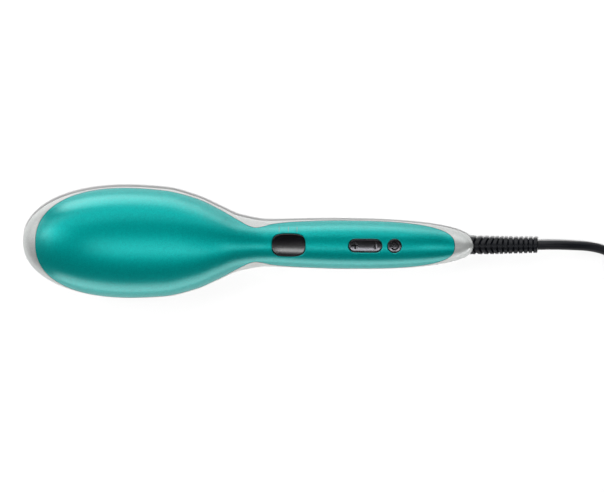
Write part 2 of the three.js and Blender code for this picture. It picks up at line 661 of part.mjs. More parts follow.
// The ribs get narrower towards the end, and their sweep fades over the first few.
function strainRelief() {
  const flangeEnd = RELIEF_ROOT + RELIEF_FLANGE;
  const neckRadius = RELIEF_ROOT_R - 0.2;
  const rings = [
    reliefRing(RELIEF_ROOT, RELIEF_FLANGE_R, 0, RELIEF_FLANGE_R),
    reliefRing(flangeEnd, RELIEF_FLANGE_R, 0, RELIEF_FLANGE_R),
    reliefRing(flangeEnd + 0.05, neckRadius, 0, neckRadius),
    reliefRing(RIB_START + 1, neckRadius, 0, neckRadius),
  ];
  const ribPlace = share => mix(RIB_START + 2, OVERALL, (1.18 - 0.18 * share) * share);
  const ribSweep = n => RIB_SWEEP * Math.max(0, 1 - n / SWEPT_RIBS);
  for (let n = 0; n < RIB_COUNT; n++) {
    const start = ribPlace(n / RIB_COUNT);
    const end = ribPlace((n + 1) / RIB_COUNT);
    const radius = mix(RELIEF_ROOT_R, RELIEF_END_R, n / (RIB_COUNT - 1));
    const sweep = ribSweep(n);
    const nextSweep = ribSweep(n + 1);
    const last = n === RIB_COUNT - 1;
    const width = end - start;
    rings.push(reliefRing(start + 0.18 * width, radius, sweep, radius));
    rings.push(reliefRing(last ? end : start + 0.6 * width, radius, last ? 0 : sweep, radius));
    if (last) continue;
    const floor = radius - RIB_DEPTH;
    rings.push(reliefRing(start + 0.68 * width, floor, mix(sweep, nextSweep, 0.2), radius - 0.2));
    rings.push(reliefRing(start + 1.08 * width, floor, mix(sweep, nextSweep, 0.8), radius - 0.2));
  }
  return toSolid(ringLoft(rings));
}

// The bar over the cord, with a groove for it and a sunk seat for each screw.
function clampBar() {
  const half = CLAMP_BAR_HALF;
  const bar = box(CLAMP_AT - 3, CLAMP_AT + 3, -half, half, RIM_TAIL, RIM_TAIL + CLAMP_BAR_HEIGHT);
  const cuts = [rod(CLAMP_AT - 4, CLAMP_AT + 4, 0, RIM_TAIL, CORD_R + GAP)];
  for (const y of [CLAMP_SCREW_SIDE, -CLAMP_SCREW_SIDE]) {
    cuts.push(post(CLAMP_AT, y, 0, SKIN_TOP, SCREW_R + GAP, 10));
    cuts.push(post(CLAMP_AT, y, RIM_TAIL + CLAMP_SEAT, SKIN_TOP, SCREW_HEAD_R + GAP));
  }
  return bar.subtract(joined(cuts));
}

// Free lead, in the part's own frame, as points chosen by hand

const HALF = OVERALL / 2;
const LEAD_Z = CORD_R + 0.05;
const LEAD_ROUTE = [
  [HALF + GAP, 0, RIM_TAIL], [HALF + 6.5, 0, RIM_TAIL], [179, 0, 10.4], [185, 0, 9.2], [191, 0, 7.5],
  [197, -0.1, 5.7], [203, -0.6, 4.2], [209, -1.9, 3.3], [215, -4.0, LEAD_Z], [221, -6.7, LEAD_Z],
  [227, -9.8, LEAD_Z], [233, -12.9, LEAD_Z], [239, -15.7, 3.1], [245, -17.9, 3.4], [251, -19.3, 3.8],
  [255.7, -19.9, 4.1], [261.7, -20, 4.1],
];
const END_ROUTE = [
  [262.3, -20, 23.6], [268.3, -20, 23.6], [273, -20, 23.3], [278, -20, 22.5], [283, -20, 21.1],
  [288, -20, 19.1], [293, -20, 16.8], [298, -20, 14.5], [303, -20, 12.3], [308, -20, 10.4],
  [313, -20, 8.8], [318, -20, 7.7], [323, -20, 7.05], [326.5, -20, 6.85], [332, -20, 6.85],
];

// The coil's centre line: in and out between two radii, a layer up in the half turn round each reversal.
function coilCentre(turns) {
  const layer = turns / TURNS_A_LAYER;
  const inward = Math.floor(layer) % 2 === 0;
  const within = layer - Math.floor(layer);
  const span = TURNS_A_LAYER * COIL_PITCH;
  const radius = COIL_MEAN_R - span / 2 + span * (inward ? 1 - within : within);
  const reversal = Math.round(layer);
  const climbing = reversal >= 1 && reversal <= COIL_LAYERS - 1;
  const away = (turns - reversal * TURNS_A_LAYER) / 0.25;
  const level = climbing && Math.abs(away) < 1 ? reversal - 1 + (1 + Math.sin(away * Math.PI / 2)) / 2
    : Math.min(Math.floor(layer), COIL_LAYERS - 1);
  const angle = 2 * Math.PI * turns - Math.PI / 2;
  const z = CORD_R + TIE_THICK + GAP + level * COIL_PITCH;
  return new THREE.Vector3(COIL_X + radius * Math.cos(angle), COIL_Y + radius * Math.sin(angle), z);
}

function cordCoil() {
  const turns = COIL_LAYERS * TURNS_A_LAYER;
  const steps = turns * STEPS_A_TURN;
  const line = [];
  for (let i = 0; i <= steps; i++) line.push(coilCentre(turns * i / steps));
  const rings = line.map((p, i) => {
    const ahead = line[Math.min(i + 1, steps)].clone().sub(line[Math.max(i - 1, 0)]).normalize();
    if (i === 0 || i === steps) ahead.set(1, 0, 0);
    const side = new THREE.Vector3(-ahead.y, ahead.x, 0).normalize();
    const up = ahead.clone().cross(side);
    const ring = [];
    for (let k = 0; k < COIL_SIDES; k++) {
      const angle = 2 * Math.PI * k / COIL_SIDES;
      ring.push(p.clone()
        .addScaledVector(side, CORD_R * Math.cos(angle))
        .addScaledVector(up, CORD_R * Math.sin(angle)));
    }
    return ring;
  });
  let least = Infinity;
  for (let i = 0; i <= steps; i++) {
    for (let j = i + STEPS_A_TURN / 2; j <= steps; j++) {
      least = Math.min(least, line[i].distanceTo(line[j]) - 2 * CORD_R);
    }
  }
  const length = line.reduce((sum, p, i) => sum + (i ? p.distanceTo(line[i - 1]) : 0), 0);
  console.log(`cord_coil: least gap to itself ${least.toFixed(2)} mm, length ${length.toFixed(0)} mm`);
  return toSolid(ringLoft(rings));
}

// A band round the bundle of turns on the far side of the coil.
function cordTie() {
  const span = TURNS_A_LAYER * COIL_PITCH / 2 + CORD_R + 2 * GAP;
  const height = TIE_THICK + GAP + 2 * CORD_R + (COIL_LAYERS - 1) * COIL_PITCH;
  const near = COIL_MEAN_R - span;
  const far = COIL_MEAN_R + span;
  const half = TIE_WIDE / 2;
  const outer = box(near - TIE_THICK, far + TIE_THICK, -half, half, 0, height + GAP + TIE_THICK);
  const inner = box(near, far, -half - 1, half + 1, TIE_THICK, height + GAP);
  return outer.subtract(inner);
}

// The flat two-pin plug: narrow at the cord, wide at its face. Each row is a share of its length, then its
// half width and half thickness there.
function plugBody() {
  const shape = [
    [0, 4.6, 4.6], [0.1, 5.2, 5.2], [0.28, 6.6, 5.8], [0.5, 11.6, 6.6],
    [0.68, PLUG_HALF - 0.6, PLUG_HALF_THICK], [0.96, PLUG_HALF, PLUG_HALF_THICK],
    [1, PLUG_HALF - 1, PLUG_HALF_THICK - 0.8],
  ];
  const rings = shape.map(([along, half, thick]) => {
    const ring = [];
    for (let i = 0; i < 16; i++) {
      const angle = 2 * Math.PI * i / 16;
      const [across, up] = [Math.cos(angle), Math.sin(angle)];
      const y = half * Math.sign(across) * Math.abs(across) ** (2 / 3);
      const z = thick * Math.sign(up) * Math.abs(up) ** (2 / 3);
      ring.push(new THREE.Vector3(along * PLUG_LENGTH, y, z));
    }
    return ring;
  });
  return toSolid(ringLoft(rings));
}

// Materials

const finish = (color, roughness, metalness = 0) => new THREE.MeshStandardMaterial(
  { color, roughness, metalness });
const teal = finish(0x079b93, 0.35, 0.4);
const pearl = finish(0xd3d6d2, 0.35, 0.3);
const darkGloss = finish(0x101114, 0.12);
const gunmetal = finish(0x4b4d51, 0.35, 0.7);
const blackPlastic = finish(0x1c1d20, 0.55);
const aluminium = finish(0x55585c, 0.5, 0.8);
const steel = finish(0xb7babd, 0.3, 1);
const ceramic = finish(0xe9e5da, 0.6);
const mica = finish(0xcfc4a2, 0.7);
const brass = finish(0xc9a24a, 0.35, 1);
const boardGreen = finish(0x1d6b3c, 0.6);
const naturalPlastic = finish(0xe4e2da, 0.5);
const glass = finish(0xdce6ea, 0.1);
const redWire = finish(0xa8342a, 0.6);
const blueWire = finish(0x2a56a8, 0.6);
const rubberBlack = finish(0x1c1f24, 0.6);

const brush = new THREE.Group();
const along = new THREE.Group();
along.position.x = -HALF;
brush.add(along);

function place(group, name, material, solid, position = [0, 0, 0], turn = [0, 0, 0]) {
  const mesh = new THREE.Mesh(toGeometry(solid), material);
  mesh.name = name;
  mesh.position.set(...position);
  mesh.rotation.set(...turn);
  group.add(mesh);
}

// Housing and its screws
place(along, 'top_cover', teal, topCover());
place(along, 'base_shell', pearl, baseShell());
const frameScrewLength = frameFlangeTop - frameBottom + SCREW_BITE - 1;
for (const [name, s] of [['front', frontScrewAt], ['rear', rearScrewAt]]) {
  place(along, `head_screw_${name}`, steel, screw(frameScrewLength), [s, 0, frameBottom + GAP]);
}
const housingScrew = screw(SCREW_HEAD + SCREW_SEAT + SCREW_BITE - GAP);
const housingScrewPlaces = [['neck', NECK_SCREW_AT, NECK_BOSS_TOP], ['tail', TAIL_SCREW_AT, TAIL_BOSS_TOP]];
for (const [name, s, bossTop] of housingScrewPlaces) {
  place(along, `housing_screw_${name}`, steel, housingScrew, [s, 0, bossTop - SCREW_SEAT - GAP - SCREW_HEAD]);
}

// Bristle side and heating
place(along, 'guard_frame', blackPlastic, guardFrame());
place(along, 'heater_plate', aluminium, heaterPlate());
place(along, 'tip_comb', blackPlastic, tipComb());
const heater = box(0, HEATER_LENGTH, -HEATER_HALF, HEATER_HALF, webBottom, heaterTop);
place(along, 'ptc_heater_front', ceramic, heater, [FIELD_CENTRE - heaterRun, 0, 0]);
place(along, 'ptc_heater_rear', ceramic, heater, [FIELD_CENTRE + HEATER_SPACE / 2, 0, 0]);
const layer = (z0, z1, half, reach) => box(FIELD_CENTRE - reach, FIELD_CENTRE + reach, -half, half, z0, z1);
place(along, 'electrode_strip', brass, layer(heaterTop + GAP, stripTop, HEATER_HALF - 1, heaterRun));
place(along, 'insulation_sheet', mica, layer(stripTop + GAP, sheetTop, HEATER_HALF + 0.5, heaterRun));
const clampPlaces = [['front', FIELD_CENTRE - clampBossAt], ['rear', FIELD_CENTRE + clampBossAt]];
const barBores = clampPlaces.map(([, s]) => post(s, 0, 0, SKIN_TOP, SCREW_R + GAP, 10));
const clampBlank = layer(sheetTop + GAP, barTop, HEATER_HALF - 0.5, clampBossAt + CLAMP_BOSS_R);
place(along, 'heater_clamp', steel, clampBlank.subtract(joined(barBores)));
for (const [name, s] of clampPlaces) {
  place(along, `clamp_screw_${name}`, steel, screw(SCREW_HEAD + barTop + GAP - plateTop - 1),
    [s, 0, barTop + GAP + SCREW_HEAD], [Math.PI, 0, 0]);
}
const sensorHeight = plateTop + GAP + SENSOR_R;
for (const [name, material, side] of [['thermistor', glass, -1], ['thermal_fuse', steel, 1]]) {
  const s = FIELD_CENTRE + side * SENSOR_SIDE;
  place(along, name, material, crossRod(s, -SENSOR_HALF, SENSOR_HALF, sensorHeight, SENSOR_R, 8));
}

// Control board, display and keys
place(along, 'control_board', boardGreen,
  box(BOARD_FRONT, BOARD_REAR, -BOARD_HALF, BOARD_HALF, BOARD_TOP - BOARD_THICK, BOARD_TOP));
place(along, 'display_module', naturalPlastic, displayModule());
place(along, 'display_window', darkGloss, displayWindow());
place(along, 'plus_switch', blackPlastic, tactSwitch(ROCKER_AT - LEVEL_SWITCH_AT));
place(along, 'minus_switch', blackPlastic, tactSwitch(ROCKER_AT + LEVEL_SWITCH_AT));
place(along, 'power_switch', blackPlastic, tactSwitch(BUTTON_AT));
place(along, 'key_frame', naturalPlastic, keyFrame());
place(along, 'rocker_pivot_pin', steel,
  crossRod(ROCKER_AT, 0.5 - KEY_FRAME_HALF, KEY_FRAME_HALF - 0.5, pivotHeight, PIVOT_R - GAP / 2, 10));
place(along, 'level_rocker', gunmetal, levelRocker());
place(along, 'power_button', gunmetal, powerButton());
const underside = [['mains_capacitor', naturalPlastic, CAPACITOR], ['triac', blackPlastic, TRIAC]];
for (const [name, material, size] of underside) {
  const reach = size.length / 2;
  place(along, name, material,
    box(size.at - reach, size.at + reach, -size.half, size.half, underBoard - size.height, underBoard));
}

// Leads inside the housing, as points chosen by hand between the pieces that they join
const boardEdge = BOARD_TOP - BOARD_THICK / 2;
const heaterEnd = FIELD_CENTRE + heaterRun + GAP;
const heaterMid = webBottom + HEATER_THICK / 2;
for (const [name, material, side] of [['live', redWire, 1], ['neutral', blueWire, -1]]) {
  const heaterWay = [
    [heaterEnd, 4.1, heaterMid], [heaterEnd + 3, 4.1, heaterMid + 0.2],
    [FIELD_CENTRE + clampBossAt + 8, 5, 19.5], [NECK_SCREW_AT - 15, 6.5, 20.5],
    [NECK_SCREW_AT - 1, 7, 19], [NECK_SCREW_AT + 6, 6.4, 15.5],
    [BOARD_FRONT - 2.5, 6, boardEdge], [BOARD_FRONT - GAP, 6, boardEdge],
  ];
  const mainsWay = [
    [JACKET_END - GAP, 1.3, RIM_TAIL], [JACKET_END - 1.8, 1.7, RIM_TAIL + 0.1],
    [TAIL_SCREW_AT + 2.2, 5, 12.4], [BOARD_REAR + 2, 5.6, 14], [BOARD_REAR + GAP, 5.6, boardEdge],
  ];
  const onSide = points => points.map(([s, y, z]) => [s, side * y, z]);
  place(along, `heater_wire_${name}`, material, tube(onSide(heaterWay), WIRE_R, 6, 14));
  place(along, `mains_wire_${name}`, material, tube(onSide(mainsWay), WIRE_R, 6, 8));
}
const sensorAt = FIELD_CENTRE - SENSOR_SIDE;
place(along, 'sensor_wire', rubberBlack, tube([
  [sensorAt, SENSOR_HALF + GAP, sensorHeight], [sensorAt, 5.4, sensorHeight + 0.6], [FIELD_CENTRE, 9, 18.8],
  [FIELD_CENTRE + 12, 11, 19.4], [FIELD_CENTRE + 34, 11, 20], [NECK_SCREW_AT - 18, 9.5, 21],
  [NECK_SCREW_AT, 9.4, 19.5],
  [NECK_SCREW_AT + 6, 9, 16], [BOARD_FRONT - 2.5, 8.6, boardEdge], [BOARD_FRONT - GAP, 8.6, boardEdge],
], WIRE_R, 6, 18));

// Cord entry
place(along, 'cord_clamp', blackPlastic, clampBar());
for (const [name, side] of [['left', 1], ['right', -1]]) {
  place(along, `cord_clamp_screw_${name}`, steel, screw(SCREW_HEAD + GAP + CLAMP_SEAT + 3),
    [CLAMP_AT, side * CLAMP_SCREW_SIDE, RIM_TAIL + CLAMP_SEAT + GAP + SCREW_HEAD], [Math.PI, 0, 0]);
}
place(along, 'cord_inner', rubberBlack, rod(JACKET_END, RELIEF_ROOT - GAP, 0, RIM_TAIL, CORD_R, 10));
place(along, 'strain_relief', rubberBlack, strainRelief());

// Free lead
const lead = new THREE.Group();
brush.add(lead);
place(lead, 'cord_lead', rubberBlack, tube(LEAD_ROUTE, CORD_R, 8, 8));
place(lead, 'cord_coil', rubberBlack, cordCoil());
place(lead, 'cord_end', rubberBlack, tube(END_ROUTE, CORD_R, 8, 8));
place(lead, 'cord_tie', blackPlastic, cordTie(), [COIL_X, COIL_Y, 0], [0, 0, Math.PI / 2]);
const plug = new THREE.Group();
plug.position.set(PLUG_FACE, PLUG_Y, PLUG_HALF_THICK);
lead.add(plug);
place(plug, 'plug_body', rubberBlack, plugBody());
for (const [name, side] of [['left', 1], ['right', -1]]) {
  const pin = rod(PLUG_LENGTH + GAP, PLUG_LENGTH + PLUG_PIN_LENGTH, 0, 0, PLUG_PIN_R, 10);
  place(plug, `plug_pin_${name}`, steel, pin, [0, side * PLUG_PIN_SPACING / 2, 0]);
}

export default brush;
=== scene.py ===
"""Looks of a hair straightening brush: teal cover, pearl shell, keys, bristle side, relief and cord."""

import json
from math import asin, ceil, copysign, cos, exp, floor, pi, radians, sin

import bmesh
import bpy
from mathutils import Matrix, Vector, kdtree
from mathutils.geometry import delaunay_2d_cdt


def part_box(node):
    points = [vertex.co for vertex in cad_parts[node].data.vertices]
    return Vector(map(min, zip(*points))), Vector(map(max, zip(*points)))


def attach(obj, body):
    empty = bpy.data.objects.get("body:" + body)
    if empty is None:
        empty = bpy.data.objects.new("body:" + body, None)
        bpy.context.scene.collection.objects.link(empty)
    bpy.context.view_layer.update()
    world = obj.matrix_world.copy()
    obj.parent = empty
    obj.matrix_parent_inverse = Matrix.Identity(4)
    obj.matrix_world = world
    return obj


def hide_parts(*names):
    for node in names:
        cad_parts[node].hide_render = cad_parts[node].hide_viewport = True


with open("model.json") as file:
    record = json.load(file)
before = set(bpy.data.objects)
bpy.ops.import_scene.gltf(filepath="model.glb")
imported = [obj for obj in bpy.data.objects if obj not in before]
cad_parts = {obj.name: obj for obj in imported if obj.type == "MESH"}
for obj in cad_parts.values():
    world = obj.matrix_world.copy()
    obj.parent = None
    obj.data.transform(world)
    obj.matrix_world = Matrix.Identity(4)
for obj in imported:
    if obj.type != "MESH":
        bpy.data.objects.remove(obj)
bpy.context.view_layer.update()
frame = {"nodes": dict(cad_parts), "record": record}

# Sizes are in millimetres. Along the body, s is measured from the nose of the head.
MM = 0.001
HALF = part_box("strain_relief")[1].x / MM    # the frame's origin is halfway from the nose to the relief's end
OVERALL = 2 * HALF
RELIEF_REACH = 41.6
BODY_LENGTH = OVERALL - RELIEF_REACH
NECK_AT = 158.9
HANDLE_WIDEST = BODY_LENGTH - 86.8
WALL = 2.2
GAP = 0.3

# The photograph: its size, its scale and the pixel over the frame's origin
IMAGE_WIDTH = 604
IMAGE_HEIGHT = 492
MM_A_PIXEL = 0.65
ORIGIN_PIXEL = (280.7, 244.2)

scene = bpy.context.scene
scene.view_settings.view_transform = "Standard"


def link_new(name, data):
    """A new object in the scene that holds a mesh, a lamp or a camera."""
    item = bpy.data.objects.new(name, data)
    scene.collection.objects.link(item)
    return item


# Camera

VIEW_HEIGHT = 18        # height of the plane that the scale holds on
VIEW_DISTANCE = 2600
VIEW_TILT = radians(4.0)
VIEW_ROLL = radians(0.67)


def facing(right, up, out):
    """The turn that takes X, Y and Z to the directions given."""
    return Matrix((right, up, out)).transposed().to_euler()


def add_camera():
    """The photograph's camera: almost straight above, a little tilted and rolled."""
    centre = Vector((
        (IMAGE_WIDTH / 2 - ORIGIN_PIXEL[0]) * MM_A_PIXEL,
        (ORIGIN_PIXEL[1] - IMAGE_HEIGHT / 2) * MM_A_PIXEL,
        VIEW_HEIGHT,
    ))
    out = Vector((0, sin(VIEW_TILT), cos(VIEW_TILT)))
    up = Vector((-sin(VIEW_ROLL), cos(VIEW_ROLL), 0))
    right = up.cross(out).normalized()
    up = out.cross(right)
    data = bpy.data.cameras.new("photo_camera")
    data.sensor_fit = "HORIZONTAL"
    data.sensor_width = 36
    data.lens = data.sensor_width * VIEW_DISTANCE / (IMAGE_WIDTH * MM_A_PIXEL)
    data.clip_end = 20
    camera = link_new("photo_camera", data)
    camera.location = (centre + out * VIEW_DISTANCE) * MM
    camera.rotation_euler = facing(right, up, out)
    scene.camera = camera


add_camera()


# Lines and outlines: the part's own, with a rim beside the cover that is a little narrower

def mix(a, b, share):
    return a + (b - a) * share


def around(steps):
    """The cosine and the sine at even steps of a full turn."""
    return [(cos(2 * pi * i / steps), sin(2 * pi * i / steps)) for i in range(steps)]


def squarer(value, power):
    """A cosine or a sine for a ring that is squarer than a circle, which has a power of 2."""
    return copysign(abs(value) ** (2 / power), value)


def smooth_line(points):
    """A smooth line through points (s, value) that never swings past them."""
    slopes = [(v1 - v0) / (s1 - s0) for (s0, v0), (s1, v1) in zip(points, points[1:])]
    leans = []
    for before, after in zip([0] + slopes, slopes + [0]):
        leans.append(2 * before * after / (before + after) if before * after > 0 else 0)

    def value(s):
        if s <= points[0][0]:
            return points[0][1]
        if s >= points[-1][0]:
            return points[-1][1]
        i = next(n for n, (end, _) in enumerate(points) if end > s) - 1
        (s0, v0), (s1, v1) = points[i], points[i + 1]
        u = (s - s0) / (s1 - s0)
        start = (1 + 2 * u) * (1 - u) ** 2 * v0 + u * (1 - u) ** 2 * (s1 - s0) * leans[i]
        end = u * u * (3 - 2 * u) * v1 + u * u * (u - 1) * (s1 - s0) * leans[i + 1]
        return start + end

    return value


def round_end(u, power):
    """A rounded body's size at a share of the way to its end."""
    return max(0.0, 1 - min(1.0, u) ** power) ** (1 / power)


def swell(nose, nose_power, middle, tail, tail_power):
    """A size along the body: a rounded nose, a line through the middle points and a rounded tail."""
    line = smooth_line(middle)
    head_at, head_size = middle[0]
    tail_at, tail_size = middle[-1]

    def size(s, inset=0.0):
        if s < head_at:
            return (head_size - inset) * round_end((head_at - s) / (head_at - nose - inset), nose_power)
        if s > tail_at:
            return (tail_size - inset) * round_end((s - tail_at) / (tail - inset - tail_at), tail_power)
        return line(s) - inset

    return size


def through(*stops):
    """Points of a line. A list between two points gives shares of the way and of the change between them."""
    points = []
    for before, stop, after in zip((None,) + stops, stops, stops[1:] + (None,)):
        if isinstance(stop, tuple):
            points.append(stop)
            continue
        for way, change in stop:
            points.append((mix(before[0], after[0], way), mix(before[1], after[1], change)))
    return points


HEAD_HALF = 35.95
HEAD_WIDEST = 69.2
NECK_HALF = 14.8
HANDLE_HALF = 16.0
body_half = swell(0, 2.15, through(
    (HEAD_WIDEST, HEAD_HALF), [(0.25, 0.05), (0.48, 0.286), (0.65, 0.6), (0.8, 0.87)],
    (NECK_AT, NECK_HALF), [(0.5, 0.62)],
    (HANDLE_WIDEST, HANDLE_HALF),
), BODY_LENGTH, 2.55)

COVER_NOSE = 8.6
COVER_TAIL = BODY_LENGTH - 12.6
COVER_INSET = 0.35
SEAM = 0.15              # between the cover and the rim beside it
COVER_HEM = 1.5
COVER_WAIST_HALF = 11.1
COVER_WAIST_AT = NECK_AT - 7.7
cover_half = swell(COVER_NOSE, 2.33, through(
    (HEAD_WIDEST, HEAD_HALF - COVER_INSET),
    [(0.27, 0.053), (0.52, 0.248), (0.71, 0.533), (0.87, 0.83), (0.96, 0.975)],
    (COVER_WAIST_AT, COVER_WAIST_HALF), [(0.07, 0.12), (0.19, 0.46), (0.46, 0.78)],
    (HANDLE_WIDEST, HANDLE_HALF - COVER_INSET),
), COVER_TAIL, 2.8)

FIELD_CENTRE = 66
FRAME_FRONT = 53
FRAME_REAR = 58
FRAME_HALF = HEAD_HALF - 7.95
FIELD_POWER = 2.3
HEAD_FLAT_END = FIELD_CENTRE + FRAME_REAR - 6
NECK_BEND = NECK_AT + 9.1
TAIL_BEND = BODY_LENGTH - 30.8
RIM_HEAD = 22.5
RIM_REST = 12.3
RIM_TAIL = 11
HANDLE_RIM = 14.5
rim_height = smooth_line([
    (0, RIM_HEAD), (HEAD_FLAT_END, RIM_HEAD), (NECK_BEND, 16.5), (HANDLE_WIDEST, HANDLE_RIM),
    (TAIL_BEND, RIM_REST), (BODY_LENGTH, RIM_TAIL),
])
CROWN_TOP_AT = 62
HEAD_CROWN = 20
HANDLE_CROWN = 12.6
TAIL_CROWN = 9.4
TAIL_END_AT = BODY_LENGTH - 12.8
crown = swell(0, 2, through(
    (CROWN_TOP_AT, HEAD_CROWN), [(0.26, 0.07), (0.47, 0.47), (0.67, 0.86)],
    (HANDLE_WIDEST, HANDLE_CROWN), [(0.6, 0.28)],
    (TAIL_END_AT, TAIL_CROWN),
), BODY_LENGTH, 5)
HEAD_KEEL = 9
HANDLE_KEEL = HANDLE_RIM - 2.3
keel = swell(0, 2.6, [
    (16, HEAD_KEEL), (HEAD_FLAT_END, HEAD_KEEL), (NECK_BEND, mix(HEAD_KEEL, HANDLE_KEEL, 0.3)),
    (HANDLE_WIDEST, HANDLE_KEEL), (TAIL_BEND, RIM_REST + 0.6), (TAIL_END_AT, 9.5),
], BODY_LENGTH, 4)
keel_power = smooth_line([(HEAD_FLAT_END, 10), (NECK_AT, 2.6)])
CROWN_POWER = 2.15
HEAD_FLOOR = RIM_HEAD - HEAD_KEEL


def crown_at(s, y=0.0, inset=0.0):
    """Height of the housing's top over a place."""
    half = body_half(s, inset)
    if half <= 0:
        return rim_height(s)
    return rim_height(s) + crown(s, inset) * round_end(abs(y) / half, CROWN_POWER)


def stations(nose, nose_end, tail_start, tail, counts, first_angle=0.012):
    """Places along a body, close together where its ends are round."""
    nose_steps, middle_steps, tail_steps = counts
    nose_shares, tail_shares = [
        [1 - cos(mix(first_angle, pi / 2, i / steps)) for i in range(steps + 1)]
        for steps in (nose_steps, tail_steps)]
    places = [nose + (nose_end - nose) * share for share in nose_shares[:-1]]
    places += [mix(nose_end, tail_start, i / middle_steps) for i in range(middle_steps)]
    places += [tail - (tail - tail_start) * share for share in reversed(tail_shares)]
    return places


def cover_stations(grow):
    return stations(COVER_NOSE - grow, HEAD_WIDEST, HANDLE_WIDEST, COVER_TAIL + grow, [34, 90, 40])


def cover_outline(grow):
    """The top cover's edge, seen from above, as a loop from the nose along -y and back along +y."""
    places = cover_stations(grow)
    near = [(s, -cover_half(s, -grow)) for s in places]
    far = [(s, cover_half(s, -grow)) for s in reversed(places)]
    return near + far


def oval(centre, front, rear, half, power, steps):
    """An egg's outline: its front and its rear reach differently far from the centre."""
    return [(centre + (rear if along > 0 else front) * squarer(along, power), half * squarer(across, power))
            for along, across in around(steps)]


def field_outline(grow, steps=160):
    return even_loop(oval(FIELD_CENTRE, FRAME_FRONT + grow, FRAME_REAR + grow, FRAME_HALF + grow,
                          FIELD_POWER, 4 * steps), steps)


def even_loop(points, count):
    """A closed loop's points at even steps."""
    closed = [Vector(p) for p in points + points[:1]]
    lengths = [0.0]
    for a, b in zip(closed, closed[1:]):
        lengths.append(lengths[-1] + (b - a).length)
    result = []
    i = 0
    for n in range(count):
        target = lengths[-1] * n / count
        while lengths[i + 1] < target:
            i += 1
        share = (target - lengths[i]) / (lengths[i + 1] - lengths[i])
        result.append(tuple(closed[i].lerp(closed[i + 1], share)))
    return result


WINDOW_AT = NECK_AT + 13.5
BUTTON_AT = BODY_LENGTH - 51.7
ROCKER_AT = BUTTON_AT - 19
WINDOW_HALF_LENGTH = 10.9
WINDOW_HALF_WIDTH = 7.55
ROCKER_HALF_LENGTH = 11.05
ROCKER_RADIUS = 4.5
ROCKER_GAP = 0.5
ROCKER_SUNK = 0.5
BUTTON_HOLE_R = 4.65
BUTTON_SUNK = 0.3
PANE_SUNK = 0.8
PANE_FLAT = 0.67        # the pane and the keys are flatter than the crown round them
KEY_FLAT = 0.9


def window_outline(grow):
    return even_loop(oval(WINDOW_AT, WINDOW_HALF_LENGTH + grow, WINDOW_HALF_LENGTH + grow,
                          WINDOW_HALF_WIDTH + grow, 3.2, 256), 96)


def pill_outline(grow):
    radius = ROCKER_RADIUS + grow
    reach = ROCKER_HALF_LENGTH - ROCKER_RADIUS
    end_steps = 24
    side_steps = 14
    points = []
    for side in (1, -1):
        for i in range(end_steps):
            angle = pi * (i / end_steps - 0.5)
            points.append((ROCKER_AT + side * (reach + radius * cos(angle)), side * radius * sin(angle)))
        for i in range(side_steps):
            points.append((ROCKER_AT + side * reach * (1 - 2 * i / side_steps), side * radius))
    return points


def circle_outline(grow, s=BUTTON_AT, radius=BUTTON_HOLE_R):
    return [(s + (radius + grow) * along, (radius + grow) * across) for along, across in around(64)]


def bar_outline(s, along, across):
    """A rectangle round a place on the middle line, by its half sizes."""
    return [(s + along, -across), (s + along, across), (s - along, across), (s - along, -across)]


# Meshes

def new_mesh(name, points, faces, *materials):
    """A mesh from points in the frame's own axes, in millimetres, with materials by name."""
    mesh = bpy.data.meshes.new(name)
    mesh.from_pydata([Vector(p) * MM for p in points], [], faces)
    for material in materials:
        mesh.materials.append(MATERIALS[material])
    return mesh


MADE_EDGE = 40          # from this many degrees an edge stays sharp, on a piece as it is made
CUT_EDGE = 32           # and on a piece that has been cut


def shade(mesh, sharp_from):
    """Smooth shading that breaks at edges sharper than an angle in degrees."""
    mesh.shade_smooth()
    mesh.set_sharp_from_angle(angle=radians(sharp_from))


def new_piece(name, points, faces, *materials, second_faces=()):
    """A mesh piece with its faces pointing out. Some faces may have its second material."""
    mesh = new_mesh(name, points, faces, *materials)
    for i in second_faces:
        mesh.polygons[i].material_index = 1
    welded = bmesh.new()
    welded.from_mesh(mesh)
    bmesh.ops.remove_doubles(welded, verts=welded.verts, dist=1e-7)
    bmesh.ops.recalc_face_normals(welded, faces=welded.faces)
    welded.to_mesh(mesh)
    welded.free()
    shade(mesh, MADE_EDGE)
    return link_new(name, mesh)


def finished_mesh(item):
    """The mesh that an object's modifiers make."""
    bpy.context.view_layer.update()
    return bpy.data.meshes.new_from_object(item.evaluated_get(bpy.context.evaluated_depsgraph_get()))


def delete(item):
    mesh = item.data
    bpy.data.objects.remove(item)
    bpy.data.meshes.remove(mesh)


def along_body(points):
    """Points measured from the nose, moved to the frame's own axes."""
    return [(s - HALF, y, z) for s, y, z in points]


def dress(piece, slot, *nodes, body="housing"):
    """Puts a piece on a body, in the place of CAD nodes, which it hides. The slot is not used."""
    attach(piece, body)
    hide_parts(*nodes)
    return piece


def band(one, other):
    """Quads between two closed rows of point numbers."""
    return [(a, b, d, c) for a, b, c, d in zip(one, one[1:] + one[:1], other, other[1:] + other[:1])]


def fan(row, centre):
    """Triangles between a closed row of point numbers and a centre."""
    return [(a, b, centre) for a, b in zip(row, row[1:] + row[:1])]


def loft_faces(rows, count, closed=False):
    """Quads between rings of so many points each, and from the last ring to the first if closed."""
    rings = [list(range(row * count, (row + 1) * count)) for row in range(rows)]
    if closed:
        rings.append(rings[0])
    return [face for one, other in zip(rings, rings[1:]) for face in band(one, other)]


def fill(flats, loops=None):
    """Triangles over flat points, inside the first loop of them and outside the others."""
    _, _, triangles, sources, _, owners = delaunay_2d_cdt(
        flats, [], loops or [list(range(len(flats)))], 1, 1e-6, True)
    return [tuple(sources[v][0] for v in t) for t, own in zip(triangles, owners)
            if not loops or list(own) == [0]]


